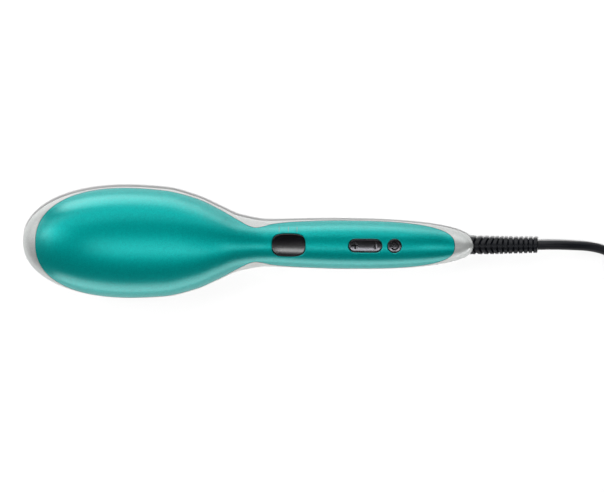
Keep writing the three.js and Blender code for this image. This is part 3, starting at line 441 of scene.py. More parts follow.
def ring_loft(rings):
    """Points and faces of a closed skin over rings, with a fan over each end."""
    count = len(rings[0])
    points = [Vector(p) for ring in rings for p in ring]
    faces = loft_faces(len(rings), count)
    for ring, first in ((rings[0], 0), (rings[-1], (len(rings) - 1) * count)):
        faces += fan(list(range(first, first + count)), len(points))
        points.append(sum((Vector(p) for p in ring), Vector()) / count)
    return points, faces


def lathe(profile, steps):
    """Points and faces of a profile (radius, height) turned about Z, from axis to axis."""
    inner = [p for p in profile if p[0] > 0]
    points = [(radius * x, radius * y, height) for radius, height in inner for x, y in around(steps)]
    faces = loft_faces(len(inner), steps)
    for height, first in ((profile[0][1], 0), (profile[-1][1], (len(inner) - 1) * steps)):
        faces += fan(list(range(first, first + steps)), len(points))
        points.append((0, 0, height))
    return points, faces


def tube(path, radius, sides=20):
    """A round tube along points, turned without twist, with closed ends."""
    path = [Vector(p) for p in path]
    headings = [(after - before).normalized()
                for before, after in zip([path[0]] + path[:-1], path[1:] + [path[-1]])]
    side = headings[0].orthogonal().normalized()
    rings = []
    for place, heading in zip(path, headings):
        side = (side - heading * side.dot(heading)).normalized()
        other = heading.cross(side)
        rings.append([place + radius * (x * side + y * other) for x, y in around(sides)])
    return ring_loft(rings)


def smooth_path(points, steps):
    """Points along a smooth curve through chosen points."""
    points = [Vector(p) for p in points]
    ends = [2 * points[0] - points[1]] + points + [2 * points[-1] - points[-2]]
    result = []
    for i in range(len(points) - 1):
        p0, p1, p2, p3 = ends[i:i + 4]
        for k in range(steps):
            u = k / steps
            result.append(0.5 * ((2 * p1) + (p2 - p0) * u + (2 * p0 - 5 * p1 + 4 * p2 - p3) * u ** 2
                                 + (3 * p1 - p0 - 3 * p2 + p3) * u ** 3))
    result.append(points[-1])
    return result


LIP_STEPS = 4
LIP_EDGE = 0.15         # a narrow band beside each lip keeps its shading off the surface
POCKET_LIP = 0.08
POCKET_DEPTH = 0.45
BORDER_CLEARANCE = 0.7  # of a step, from the grid inside a plate to its edges


def unrolled(place, inset):
    """Where a place on the crown lies once the crown is laid out flat."""
    s, y = place
    half = max(body_half(s, inset), 1e-3)
    return Vector((s, half * copysign(asin(min(1, abs(y) / half) ** (CROWN_POWER / 2)), y)))


def crown_grid(border, flats, inset, spacing):
    """Rows of places inside a border that keep clear of flat points: each place, and where it lies flat."""
    near = kdtree.KDTree(len(flats))
    for i, p in enumerate(flats):
        near.insert((p.x, p.y, 0), i)
    near.balance()
    low, high = min(s for s, _ in border), max(s for s, _ in border)
    rows = int((high - low) / spacing)
    grid = []
    for i in range(1, rows):
        s = low + (high - low) * i / rows
        half = body_half(s, inset)
        step = spacing * (0.55 + 0.75 * half / HEAD_HALF)    # closer together where the body is narrow
        reach = int(half * pi / 2 / step)
        for k in range(-reach, reach + 1):
            b = k * step
            if near.find((s, b, 0))[2] > BORDER_CLEARANCE * step:
                y = half * copysign(sin(abs(b) / half) ** (2 / CROWN_POWER), b)
                grid.append(((s, y), Vector((s, b))))
    return grid


def crowned_piece(name, materials, outer, holes=(), pockets=(), inset=0.0, flat=1.0, lip=0.3, hole_lip=0.3,
                  depth=2.0, spacing=1.2, hollow=False):
    """A plate that follows the housing's crown: rounded lips at its edge and holes, and engraved pockets.

    outer, holes and pockets are outlines as functions of how far they grow. A flat below 1 makes the
    plate's top flatter than the crown. A second material is the one inside its pockets. The plate is
    laid out flat, with the crown unrolled, so that its triangles are even."""
    def lift(place, drop=0.0):
        s, y = place
        return (s, y, crown_at(s, flat * y, inset) - drop)

    edges = [(outer, -1, lip), *((hole, 1, hole_lip) for hole in holes),
             *((pocket, 1, POCKET_LIP) for pocket in pockets)]
    borders = [outline(side * (radius + LIP_EDGE)) for outline, side, radius in edges]
    places = [p for border in borders for p in border]
    flats = [unrolled(p, inset) for p in places]
    loops = []
    start = 0
    for border in borders:
        loops.append(list(range(start, start + len(border))))
        start += len(border)

    for place, laid in crown_grid(borders[0], flats, inset, spacing):
        places.append(place)
        flats.append(laid)

    points = [lift(p) for p in places]
    inside = fill(flats, loops)
    faces = list(inside)

    def add_row(row, last):
        first = len(points)
        points.extend(row)
        here = list(range(first, len(points)))
        faces.extend(band(last, here))
        return here

    ends = []
    inked = []
    for (outline, side, radius), last in zip(edges, loops):
        for n in range(LIP_STEPS + 1):
            angle = pi / 2 * n / LIP_STEPS
            row = outline(side * radius * (1 - sin(angle)))
            last = add_row([lift(p, radius * (1 - cos(angle))) for p in row], last)
        pocket = outline in pockets
        first = len(faces)
        last = add_row([lift(p, POCKET_DEPTH if pocket else depth) for p in outline(0)], last)
        if pocket:
            faces.extend(tuple(last[v] for v in t) for t in fill([Vector(p) for p in outline(0)]))
            inked.extend(range(first, len(faces)))
        else:
            ends.append(last)
    if hollow:
        used = sorted({v for t in inside for v in t})
        under = {v: len(points) + n for n, v in enumerate(used)}
        points.extend([(points[v][0], points[v][1], points[v][2] - depth) for v in used])
        faces.extend(tuple(under[v] for v in t) for t in inside)
        for end, loop in zip(ends, loops):
            faces.extend(band(end, [under[v] for v in loop]))
    else:
        base = ends[0]
        faces.extend(tuple(base[v] for v in t) for t in fill([Vector(points[v][:2]) for v in base]))
    return new_piece(name, along_body(points), faces, *materials, second_faces=inked)


def body_solid(inset, counts, ring_count):
    """The housing's full form as points and faces, drawn in by an inset on every side."""
    rings = []
    for s in stations(inset, HEAD_WIDEST, HANDLE_WIDEST, BODY_LENGTH - inset, counts):
        upper = CROWN_POWER, crown(s, inset)
        lower = keel_power(s), keel(s, inset)
        ring = []
        for across, up in around(ring_count):
            power, height = upper if up >= 0 else lower
            y = body_half(s, inset) * squarer(across, power)
            ring.append((s - HALF, y, rim_height(s) + height * squarer(up, power)))
        rings.append(ring)
    return ring_loft(rings)


def cut_away(piece, cutters):
    """Cuts closed cutters from a closed piece, and deletes them."""
    for cutter in cutters:
        modifier = piece.modifiers.new("cut", "BOOLEAN")
        modifier.operation = "DIFFERENCE"
        modifier.solver = "MANIFOLD"
        modifier.object = cutter
    result = finished_mesh(piece)
    piece.modifiers.clear()
    whole = piece.data
    piece.data = result
    bpy.data.meshes.remove(whole)
    for cutter in cutters:
        delete(cutter)
    shade(result, CUT_EDGE)


def prism(outline, z0, z1):
    """A cutter that stands on an outline."""
    rings = [[(s - HALF, y, z) for s, y in outline] for z in (z0, z1)]
    return new_piece("cutter", *ring_loft(rings))


def rod(s0, s1, z, radius):
    """A round cutter along the body."""
    rings = [[(s - HALF, radius * across, z + radius * up) for across, up in around(96)] for s in (s0, s1)]
    return new_piece("cutter", *ring_loft(rings))


# Materials

def linear(colour):
    """The linear colour of one given in 0 to 255, as a picture has it."""
    shares = [value / 255 for value in colour]
    return (*(c / 12.92 if c <= 0.04045 else ((c + 0.055) / 1.055) ** 2.4 for c in shares), 1.0)


NUMBER_SOCKETS = {int: "Int", float: "Float"}


def group(name, inputs, outputs, kind="Shader"):
    """A new node group. Each socket is given its kind, or the number that it starts from."""
    tree = bpy.data.node_groups.new(name, kind + "NodeTree")
    for in_out, sockets in (("INPUT", inputs), ("OUTPUT", outputs)):
        for label, given in sockets.items():
            holds = NUMBER_SOCKETS.get(type(given), given)
            socket = tree.interface.new_socket(label, in_out=in_out, socket_type="NodeSocket" + holds)
            if given != holds:
                socket.default_value = given
    return tree, tree.nodes.new("NodeGroupInput").outputs, tree.nodes.new("NodeGroupOutput").inputs


def add(tree, kind, values=None, **settings):
    """Adds a node, sets its properties, and sets or links its inputs."""
    node = tree.nodes.new(kind)
    for key, value in settings.items():
        setattr(node, key, value)
    for key, value in (values or {}).items():
        socket = node.inputs[key]
        if isinstance(value, bpy.types.NodeSocket):
            tree.links.new(value, socket)
        else:
            socket.default_value = value
    return node


def math_node(tree, operation, *values):
    return add(tree, "ShaderNodeMath", dict(enumerate(values)), operation=operation).outputs[0]


MIX_SHARE, MIX_FROM, MIX_TO, MIX_RESULT = 0, 6, 7, 2    # the colour sockets of a Mix node


def mixed(tree, share, start, end):
    """The colour between two."""
    values = {MIX_SHARE: share, MIX_FROM: start, MIX_TO: end}
    return add(tree, "ShaderNodeMix", values, data_type="RGBA").outputs[MIX_RESULT]


def noise(tree, place, scale, detail, roughness=0.5):
    values = {"Vector": place, "Scale": scale, "Detail": detail, "Roughness": roughness}
    return add(tree, "ShaderNodeTexNoise", values).outputs[0]


def ramp(tree, value, start, end, low=0.0, high=1.0):
    """Goes from low to high while a value goes from start to end."""
    return add(tree, "ShaderNodeMapRange", {"Value": value, "From Min": start, "From Max": end,
                                            "To Min": low, "To Max": high}).outputs["Result"]


def paint_flake():
    """Metal flakes in a lacquer: a mask of their brightness and a faint height."""
    tree, given, result = group("paint flake", {"Place": "Vector", "Flakes a Metre": 2400.0},
                                {"Sparkle": "Float", "Height": "Float"})
    cells = add(tree, "ShaderNodeTexVoronoi", {"Vector": given["Place"], "Scale": given["Flakes a Metre"]})
    flake = add(tree, "ShaderNodeSeparateColor", {"Color": cells.outputs["Color"]}).outputs
    cloud = noise(tree, given["Place"], 900.0, 3.0)
    flash = math_node(tree, "MULTIPLY", flake[0], 0.6)
    tree.links.new(math_node(tree, "MULTIPLY_ADD", cloud, 0.4, flash), result["Sparkle"])
    tree.links.new(flake[1], result["Height"])
    return tree


def moulded_grain():
    """The skin of a moulded piece: a fine height and a cloudy roughness."""
    tree, given, result = group(
        "moulded grain", {"Place": "Vector", "Grains a Metre": 1500.0, "Roughness": 0.5, "Variation": 0.1},
        {"Height": "Float", "Roughness": "Float", "Cloud": "Float"})
    cloud = noise(tree, given["Place"], 60.0, 4.0)
    offset = math_node(tree, "SUBTRACT", cloud, 0.5)
    rough = math_node(tree, "MULTIPLY_ADD", offset, given["Variation"], given["Roughness"])
    tree.links.new(noise(tree, given["Place"], given["Grains a Metre"], 3.0, 0.6), result["Height"])
    tree.links.new(rough, result["Roughness"])
    tree.links.new(cloud, result["Cloud"])
    return tree


FLAKE = paint_flake()
GRAIN = moulded_grain()


def new_material(name, **sockets):
    """A material with its Principled BSDF, and its object coordinates."""
    material = bpy.data.materials.new(name)
    material.use_nodes = True
    tree = material.node_tree
    shader = tree.nodes["Principled BSDF"]
    for label, value in sockets.items():
        shader.inputs[label.replace("_", " ")].default_value = value
    place = add(tree, "ShaderNodeTexCoord").outputs["Object"]
    material.diffuse_color = shader.inputs["Base Color"].default_value
    return material, tree, shader, place


def bump(tree, shader, height, distance, strength=1.0):
    """Roughens the surface by a height, over a distance in millimetres."""
    node = add(tree, "ShaderNodeBump", {"Height": height, "Distance": distance * MM, "Strength": strength})
    tree.links.new(node.outputs["Normal"], shader.inputs["Normal"])


def flaked(name, dark, light, flakes, **sockets):
    """A lacquer with metal flakes."""
    material, tree, shader, place = new_material(name, **sockets)
    flake = add(tree, "ShaderNodeGroup", {"Place": place, "Flakes a Metre": flakes}, node_tree=FLAKE).outputs
    tree.links.new(mixed(tree, flake["Sparkle"], linear(dark), linear(light)), shader.inputs["Base Color"])
    bump(tree, shader, flake["Height"], 0.004, 0.6)
    return material


def moulded(name, dark, light, roughness, grains=1500.0, depth=0.02, variation=0.12, **sockets):
    """A moulded, cast or drawn surface with a fine grain and cloudy shade and roughness."""
    material, tree, shader, place = new_material(name, Base_Color=linear(light), **sockets)
    values = {"Place": place, "Grains a Metre": grains, "Roughness": roughness, "Variation": variation}
    grain = add(tree, "ShaderNodeGroup", values, node_tree=GRAIN).outputs
    tree.links.new(mixed(tree, grain["Cloud"], linear(dark), linear(light)), shader.inputs["Base Color"])
    tree.links.new(grain["Roughness"], shader.inputs["Roughness"])
    bump(tree, shader, grain["Height"], depth)
    return material


TICK_PLACES = (166.1, 172.1, 177.7)     # printed bars beside the window, from the nose
TICK_HALF_WIDE = 0.28
TICK_Y = 10.1
TICK_HALF_LONG = 1.6
TICK_INK = (128, 100, 104)
TICK_STRENGTH = 0.45
COAT_SLANTS = (0.055, 0.2)      # between these slants the coat over the teal goes from faint to strong
COAT_WEIGHTS = (0.04, 0.52)


def teal_lacquer():
    """Satin teal lacquer with fine flake and a coat that shows at a slant, and three printed bars."""
    material = flaked("teal lacquer", (0, 140, 137), (0, 171, 167), 2200.0, Metallic=0.5,
                      Roughness=0.35, Specular_IOR_Level=0.0, Coat_IOR=2.2, Coat_Roughness=0.24)
    tree = material.node_tree
    shader = tree.nodes["Principled BSDF"]
    slant = add(tree, "ShaderNodeLayerWeight", {"Blend": 0.5}).outputs["Facing"]
    tree.links.new(ramp(tree, slant, *COAT_SLANTS, *COAT_WEIGHTS), shader.inputs["Coat Weight"])
    place = add(tree, "ShaderNodeTexCoord").outputs["Object"]
    axes = add(tree, "ShaderNodeSeparateXYZ", {"Vector": place})
    bars = 0.0
    for s in TICK_PLACES:
        hit = math_node(tree, "COMPARE", axes.outputs[0], (s - HALF) * MM, TICK_HALF_WIDE * MM)
        bars = math_node(tree, "ADD", hit, bars)
    row = math_node(tree, "COMPARE", axes.outputs[1], TICK_Y * MM, TICK_HALF_LONG * MM)
    ink = math_node(tree, "MULTIPLY", math_node(tree, "MULTIPLY", bars, row), TICK_STRENGTH)
    paint = shader.inputs["Base Color"].links[0].from_socket
    tree.links.new(mixed(tree, ink, paint, linear(TICK_INK)), shader.inputs["Base Color"])
    return material


MATERIALS = {
    "teal_cover": teal_lacquer(),
    "pearl_shell": flaked("pearl lacquer", (190, 193, 192), (212, 215, 213), 2600.0,
                          Metallic=0.42, Roughness=0.37),
    "gloss_black": moulded("display window gloss", (2, 2, 6), (6, 6, 10), 0.17,
                           grains=90.0, depth=0.002, variation=0.03, Specular_IOR_Level=0.8),
    "gunmetal": flaked("gunmetal lacquer", (74, 74, 78), (91, 90, 94), 3000.0,
                       Metallic=0.95, Roughness=0.17),
    "engraving": moulded("dark engraving", (3, 3, 5), (7, 7, 10), 0.7, Specular_IOR_Level=0.1),
    "rubber_black": moulded("cord rubber", (7, 9, 15), (14, 17, 24), 0.42, grains=2200.0,
                            Specular_IOR_Level=0.26),
    "black_plastic": moulded("matt black plastic", (26, 26, 29), (38, 38, 42), 0.5),
    "comb_plastic": moulded("tip plastic", (36, 36, 40), (50, 50, 54), 0.42),
    "coated_aluminium": moulded("ceramic coat", (70, 73, 78), (94, 97, 102), 0.38,
                                grains=2600.0, Metallic=0.6),
    "steel": moulded("plated steel", (176, 178, 182), (206, 208, 211), 0.26, grains=700.0,
                     depth=0.006, Metallic=1.0),
    "ceramic": moulded("fired ceramic", (226, 222, 210), (240, 237, 228), 0.6),
    "brass": moulded("brass strip", (176, 140, 70), (206, 170, 96), 0.3, Metallic=1.0),
    "mica": moulded("mica sheet", (186, 172, 134), (210, 198, 160), 0.45),
    "bead_glass": moulded("bead glass", (214, 226, 230), (232, 240, 242), 0.08,
                          variation=0.03),
    "board": moulded("solder mask", (16, 82, 44), (26, 104, 58), 0.4),
    "natural_plastic": moulded("natural plastic", (214, 212, 202), (230, 228, 220), 0.45),
    "wire_red": moulded("red insulation", (150, 34, 26), (180, 50, 38), 0.5),
    "wire_blue": moulded("blue insulation", (30, 62, 150), (46, 84, 180), 0.5),
}


# Cord, coil, tie and plug, in the frame's own axes

CORD_R = 3
LEAD_Z = CORD_R + 0.05
RELIEF_BEND = 0.6       # the strain relief and the cord's first stretch bow this far to the side
LEAD_ROUTE = [
    (HALF + GAP, RELIEF_BEND, RIM_TAIL), (HALF + 6.5, 0.8, RIM_TAIL), (179, 0.8, 10.4), (185, 0.7, 9.2),
    (191, 0.4, 7.5), (197, 0.1, 5.7), (203, -0.6, 4.2), (209, -1.9, 3.3), (215, -4.0, LEAD_Z),
    (221, -6.7, LEAD_Z), (227, -9.8, LEAD_Z), (233, -12.9, LEAD_Z), (239, -15.7, 3.1), (245, -17.9, 3.4),
    (251, -19.3, 3.8), (255.7, -19.9, 4.1),
]
END_ROUTE = [
    (268.3, -20, 23.6), (273, -20, 23.3), (278, -20, 22.5), (283, -20, 21.1), (288, -20, 19.1),
    (293, -20, 16.8), (298, -20, 14.5), (303, -20, 12.3), (308, -20, 10.4), (313, -20, 8.8),
    (318, -20, 7.7), (323, -20, 7.05), (326.5, -20, 6.85), (332.3, -20, 6.85),
]
COIL_CENTRE = (262, 19)
COIL_MEAN_R = 32.5
COIL_PITCH = 6.5
COIL_LAYERS = 4
TURNS_A_LAYER = 2
STEPS_A_TURN = 48
CLIMB_TURNS = 0.25      # the cord climbs to its next layer over this much of a turn before and after the bend
TIE_THICK = 0.8
TIE_WIDE = 8


def coil_place(turns):
    """The coil's centre line: in and out between two radii, and up a layer where it turns back."""
    layer = turns / TURNS_A_LAYER
    within = layer - floor(layer)
    inward = floor(layer) % 2 == 0
    span = TURNS_A_LAYER * COIL_PITCH
    radius = COIL_MEAN_R - span / 2 + span * (1 - within if inward else within)
    bend = round(layer)
    away = (turns - bend * TURNS_A_LAYER) / CLIMB_TURNS
    if 1 <= bend <= COIL_LAYERS - 1 and abs(away) < 1:
        level = bend - 1 + (1 + sin(away * pi / 2)) / 2
    else:
        level = min(floor(layer), COIL_LAYERS - 1)
    angle = 2 * pi * turns - pi / 2
    return (COIL_CENTRE[0] + radius * cos(angle), COIL_CENTRE[1] + radius * sin(angle),
            CORD_R + TIE_THICK + GAP + level * COIL_PITCH)


def cord_line():
    turns = COIL_LAYERS * TURNS_A_LAYER
    coil = [coil_place(n / STEPS_A_TURN) for n in range(turns * STEPS_A_TURN + 1)]
    lead = smooth_path(LEAD_ROUTE + [coil[0]], 4)[:-1]
    end = smooth_path([coil[-1]] + END_ROUTE, 4)[1:]
    return lead + [Vector(p) for p in coil] + end


def add_cord(with_pieces):
    line = cord_line()
    piece = new_piece("mains_cord", *tube(line, CORD_R), "rubber_black")
    dress(piece, "rubber_black", "cord_lead", "cord_coil", "cord_end")


def add_tie():
    """A strap round the bundle, where its two turns lie half a pitch on either side of the mean radius."""
    span = COIL_PITCH / 2 + CORD_R + 2 * GAP
    low = TIE_THICK
    high = low + GAP + 2 * CORD_R + (COIL_LAYERS - 1) * COIL_PITCH + GAP
    corner = CORD_R
    steps = 8
    rows = []
    for x, z, turn in ((span, high, 0), (-span, high, 1), (-span, low, 2), (span, low, 3)):
        centre = Vector((x - copysign(corner, x), z - corner if z == high else z + corner))
        for i in range(steps + 1):
            angle = pi / 2 * (turn + i / steps)
            rows.append((centre, Vector((cos(angle), sin(angle)))))
    bulge = 1.04
    section = [(0, -1), (0, 1), (0.3, bulge), (0.7, bulge), (1, 1), (1, -1), (0.7, -bulge), (0.3, -bulge)]
    half = 0.48 * TIE_WIDE      # without the bulge of its edges
    points = []
    for centre, out in rows:
        for share, side in section:
            place = centre + out * (corner + TIE_THICK * share)
            points.append((COIL_CENTRE[0] + side * half, COIL_CENTRE[1] + COIL_MEAN_R + place.x, place.y))
    faces = loft_faces(len(rows), len(section), closed=True)
    piece = new_piece("tie_strap", points, faces, "black_plastic")
    return dress(piece, "black_plastic", "cord_tie")


PLUG_FACE = 332.3
PLUG_Y = -20
PLUG_LENGTH = 34
PLUG_HALF = 17.6
PLUG_HALF_THICK = 6.85
PLUG_PIN_R = 2
PLUG_PIN_LENGTH = 19
PLUG_PIN_SPACING = 18.6
NECK_SHARE = 0.26           # the plug's neck, and the pitches and the grip's place, are shares of its length
NECK_RIB_PITCH = 0.052
NECK_RIB_DEPTH = 0.45
GRIP_AT = 0.8
GRIP_SPREAD = 0.1
GRIP_PITCH = 0.045
GRIP_DEPTH = 0.35


def add_plug():
    """The flat plug, with a ribbed neck and a grip on each side."""
    half_line = smooth_line([
        (0, 4.6), (0.1, 5.2), (0.28, 6.6), (0.5, 11.6), (0.68, PLUG_HALF - 0.6), (0.93, PLUG_HALF),
        (0.985, PLUG_HALF - 0.35), (1, PLUG_HALF - 1)])
    thick_line = smooth_line([
        (0, 4.6), (0.1, 5.2), (0.28, 5.8), (0.5, 6.6), (0.68, PLUG_HALF_THICK), (0.93, PLUG_HALF_THICK),
        (0.985, PLUG_HALF_THICK - 0.3), (1, PLUG_HALF_THICK - 0.8)])

    def wave(along, pitch):
        return 0.5 - 0.5 * cos(2 * pi * along / pitch)

    steps = 110
    rings = []
    for step in range(steps + 1):
        along = step / steps
        neck = max(0.0, 1 - along / NECK_SHARE)
        ribs = NECK_RIB_DEPTH * min(1.0, 6 * neck) * wave(along, NECK_RIB_PITCH)
        grip = GRIP_DEPTH * exp(-((along - GRIP_AT) / GRIP_SPREAD) ** 2) * wave(along, GRIP_PITCH)
        rings.append([
            (PLUG_FACE + along * PLUG_LENGTH,
             PLUG_Y + (half_line(along) - ribs - grip * abs(across) ** 6) * squarer(across, 3),
             PLUG_HALF_THICK + (thick_line(along) - ribs) * squarer(up, 3))
            for across, up in around(56)])
    body = new_piece("plug_moulding", *ring_loft(rings), "rubber_black")
    dress(body, "rubber_black", "plug_body")
    return [body, add_plug_pin("left", 1), add_plug_pin("right", -1)]


def add_plug_pin(name, side):
    """A round pin with an insulating sleeve over its first half."""
    sleeve = 0.52 * PLUG_PIN_LENGTH
    bare_r = PLUG_PIN_R - 0.12
    tip = 1.6
    tip_at = PLUG_PIN_LENGTH - tip
    profile = [(0, GAP), (PLUG_PIN_R, GAP), (PLUG_PIN_R, sleeve), (bare_r, sleeve + 0.05), (bare_r, tip_at)]
    for i in range(1, 6):
        angle = pi / 2 * i / 6
        profile.append((bare_r * cos(angle), tip_at + tip * sin(angle)))
    profile.append((0, PLUG_PIN_LENGTH))
    points, faces = lathe(profile, 28)
    pin_y = PLUG_Y + side * PLUG_PIN_SPACING / 2
    turned = [(PLUG_FACE + PLUG_LENGTH + z, pin_y + y, PLUG_HALF_THICK + x) for x, y, z in points]
    pin = new_piece(f"plug_prong_{name}", turned, faces, "steel", "black_plastic")
    sleeve_end = (PLUG_FACE + PLUG_LENGTH + sleeve) * MM
    for face in pin.data.polygons:
        face.material_index = 1 if face.center.x < sleeve_end else 0
    return dress(pin, "steel", f"plug_pin_{name}")


add_cord([add_tie(), *add_plug()])


# Housing

def add_cover():
    holes = [window_outline, pill_outline, circle_outline]
    piece = crowned_piece("cover_skin", ["teal_cover"], cover_outline, holes=holes, lip=0.28,
                          hole_lip=0.5, depth=WALL, hollow=True)
    return dress(piece, "teal_cover", "top_cover")


SCREW_R = 1.4
SCREW_HEAD_R = 2.5
CLAMP_AT = BODY_LENGTH - 28.8
HOUSING_SCREWS = {"neck": (NECK_AT - 12.9, 17.5), "tail": (CLAMP_AT - 10.8, 9.5)}   # place and top
SCREW_HEAD_THICK = 1.8
SCREW_SEAT = 3          # a housing screw's head lies this far below the top of its place
RELIEF_ROOT_R = 5.7
RELIEF_ENTRY = BODY_LENGTH - 14.8
CLEAR = 60              # cutters reach out to here, past the housing's sides and top


def add_shell():
    """The lower shell: the housing's form less its inside, the cover's place and the openings below."""
    piece = new_piece("shell_skin", *body_solid(0, [44, 100, 44], 128), "pearl_shell")
    column = []
    for s in cover_stations(SEAM):
        half = cover_half(s, -SEAM)
        low = rim_height(s) + COVER_HEM - GAP
        corners = (half, low), (half, CLEAR), (-half, CLEAR), (-half, low)
        column.append([(s - HALF, y, z) for y, z in corners])
    cutters = [
        new_piece("cutter", *body_solid(WALL, [20, 40, 16], 48)),           # the inside
        new_piece("cutter", *ring_loft(column)),                            # the cover's place
        prism(field_outline(GAP), HEAD_FLOOR - 5, HEAD_FLOOR + WALL + 1),   # the heated field
        prism(bar_outline(BODY_LENGTH / 2, BODY_LENGTH / 2 + 10, CLEAR), -20, 0),   # what is underground
        rod(RELIEF_ENTRY, BODY_LENGTH + 5, RIM_TAIL, RELIEF_ROOT_R + GAP),
    ]
    for s, top in HOUSING_SCREWS.values():
        cutters.append(prism(circle_outline(GAP, s, SCREW_HEAD_R), -5, top - SCREW_SEAT))
    cut_away(piece, cutters)
    return dress(piece, "pearl_shell", "base_shell")


def add_window():
    piece = crowned_piece("window_pane", ["gloss_black"], lambda grow: window_outline(grow - GAP),
                          inset=PANE_SUNK, flat=PANE_FLAT, depth=1.2, spacing=0.7)
    return dress(piece, "gloss_black", "display_window")


# Keys

SIGN_REACH = 2.2
SIGN_HALF = 0.36
PLUS_AT = ROCKER_AT - 6.7
MINUS_AT = ROCKER_AT + 6.3


def plus_outline(grow):
    a, b = SIGN_HALF + grow, SIGN_REACH + grow
    corners = [(b, a), (a, a), (a, b), (-a, b), (-a, a), (-b, a), (-b, -a), (-a, -a), (-a, -b), (a, -b),
               (a, -a), (b, -a)]
    return [(PLUS_AT + x, y) for x, y in corners]


def minus_outline(grow):
    return bar_outline(MINUS_AT, SIGN_HALF + grow, SIGN_REACH + grow)


POWER_RING_R = 2.35
POWER_GAP = radians(34)


def power_ring_outline(grow):
    """An open ring, open towards the head."""
    steps = 28
    outer, inner = POWER_RING_R + SIGN_HALF + grow, POWER_RING_R - SIGN_HALF - grow
    start = pi + POWER_GAP - grow / POWER_RING_R
    sweep = 2 * (pi - POWER_GAP + grow / POWER_RING_R)
    arc = [start + sweep * i / steps for i in range(steps + 1)]
    points = [(BUTTON_AT + outer * cos(a), outer * sin(a)) for a in arc]
    return points + [(BUTTON_AT + inner * cos(a), inner * sin(a)) for a in reversed(arc)]


def power_bar_outline(grow):
    return bar_outline(BUTTON_AT - POWER_RING_R + 0.55, 1.25 + grow, SIGN_HALF + grow)


def add_keys():
    """The rocker and the button, with their engraved signs. Each rides on the body of its own name."""
    for name, node, outline, gap, signs, inset, depth in (
            ("rocker_cap", "level_rocker", pill_outline, ROCKER_GAP, [plus_outline, minus_outline],
             ROCKER_SUNK, 5),
            ("button_cap", "power_button", circle_outline, GAP, [power_ring_outline, power_bar_outline],
             BUTTON_SUNK, 3)):
        cap = crowned_piece(name, ["gunmetal", "engraving"], lambda grow: outline(grow - gap), pockets=signs,
                            inset=inset, flat=KEY_FLAT, lip=0.35, depth=depth, spacing=0.6)
        dress(cap, "gunmetal", node, body=node)


# Strain relief

RELIEF_END_R = 4.9
RIB_COUNT = 13
RIB_DEPTH = 1.6
RIB_CROWDING = 0.18     # the ribs lie closer together towards the cord
SIDE_SHALLOWER = 0.4    # the grooves lose this share of their depth at the two sides
GROOVE_HALF = 0.19      # of a rib's pitch
SPINE_HALF = 0.15       # of the relief's radius
RIB_SWEEP = 2.9
FULL_SWEEP_RIBS = 3.4
SWEPT_RIBS = 7.2
RIB_START = BODY_LENGTH - 6.5
RELIEF_ROOT = BODY_LENGTH - 16.8
RELIEF_FLANGE_R = 6.8


def add_relief():
    """The ribbed strain relief: its ribs sweep back from a spine above and below."""
    def rib_place(share):
        return mix(RIB_START + 2, OVERALL, (1 + RIB_CROWDING * (1 - share)) * share)

    neck_r = RELIEF_ROOT_R - 0.2
    flange_end = RELIEF_ROOT + 2
    rows = [(RELIEF_ROOT, RELIEF_FLANGE_R, 0, 0), (flange_end, RELIEF_FLANGE_R, 0, 0),
            (flange_end + 0.05, neck_r, 0, 0), (RIB_START + 0.8, neck_r, 0, 0)]
    steps = 16
    for n in range(RIB_COUNT):
        start, end = rib_place(n / RIB_COUNT), rib_place((n + 1) / RIB_COUNT)
        radius = mix(RELIEF_ROOT_R, RELIEF_END_R, n / (RIB_COUNT - 1))
        for k in range(steps):
            u = k / steps
            fading = (SWEPT_RIBS - n - u) / (SWEPT_RIBS - FULL_SWEEP_RIBS)
            sweep = RIB_SWEEP * min(1.0, max(0.0, fading), n + u)
            valley = max(0.0, 1 - (min(u, 1 - u) / GROOVE_HALF) ** 2.4)
            rows.append((mix(start, end, u), radius, sweep, valley if n or u > 0.5 else 0))
    rows += [(OVERALL - 0.5, RELIEF_END_R, 0, 0), (OVERALL - 0.15, RELIEF_END_R - 0.15, 0, 0),
             (OVERALL, RELIEF_END_R - 0.5, 0, 0)]
    rings = []
    for s, radius, sweep, valley in rows:
        bow = RELIEF_BEND * max(0.0, (s - BODY_LENGTH) / RELIEF_REACH) ** 2
        ring = []
        for across, up in around(72):
            side = abs(across)
            spine = 1 / (1 + (side / SPINE_HALF) ** 4)
            r = radius - RIB_DEPTH * valley * (1 - spine) * (1 - SIDE_SHALLOWER * side ** 6)
            ring.append((s + sweep * side ** 2.4 - HALF, bow + r * across, RIM_TAIL + r * up))
        rings.append(ring)
    piece = new_piece("relief_ribs", *ring_loft(rings), "rubber_black")
    return dress(piece, "rubber_black", "strain_relief")


add_cover()
add_shell()
add_window()
add_keys()
add_relief()


# Bristle side

FRAME_RING = 6.4
FRAME_BOTTOM = HEAD_FLOOR - 1.2
INNER_ROUNDING = 0.5
OUTER_ROUNDING = 0.8
FLANGE_THICK = 1.3
FLANGE_REACH = 1.5
PLATE_BOTTOM = FRAME_BOTTOM + 0.6
PLATE_TOP = PLATE_BOTTOM + 2.0
PLATE_INSET = FRAME_RING + GAP
GUARD_COUNT = 34
GUARD_ROOT_R = 1.3
GUARD_TIP_R = 0.8
PIN_PITCH = 8
PIN_MARGIN = 4.2
PIN_R = 2.0
PIN_END = 4.4
PIN_TIP_R = 1.72
PIN_TIP_RISE = 0.9      # of the round end's centre, so that the pin closes on the tip inside it
SHORT_PIN_END = 6.2
SHORT_PIN_TIP_R = 1.6
CAP_R = 1.8
CAP_TIP_R = 1.15
CAP_END = 1.4
CAP_LENGTH = 3.1
WEB_THICK = 1.2
WEB_MARGIN = 1


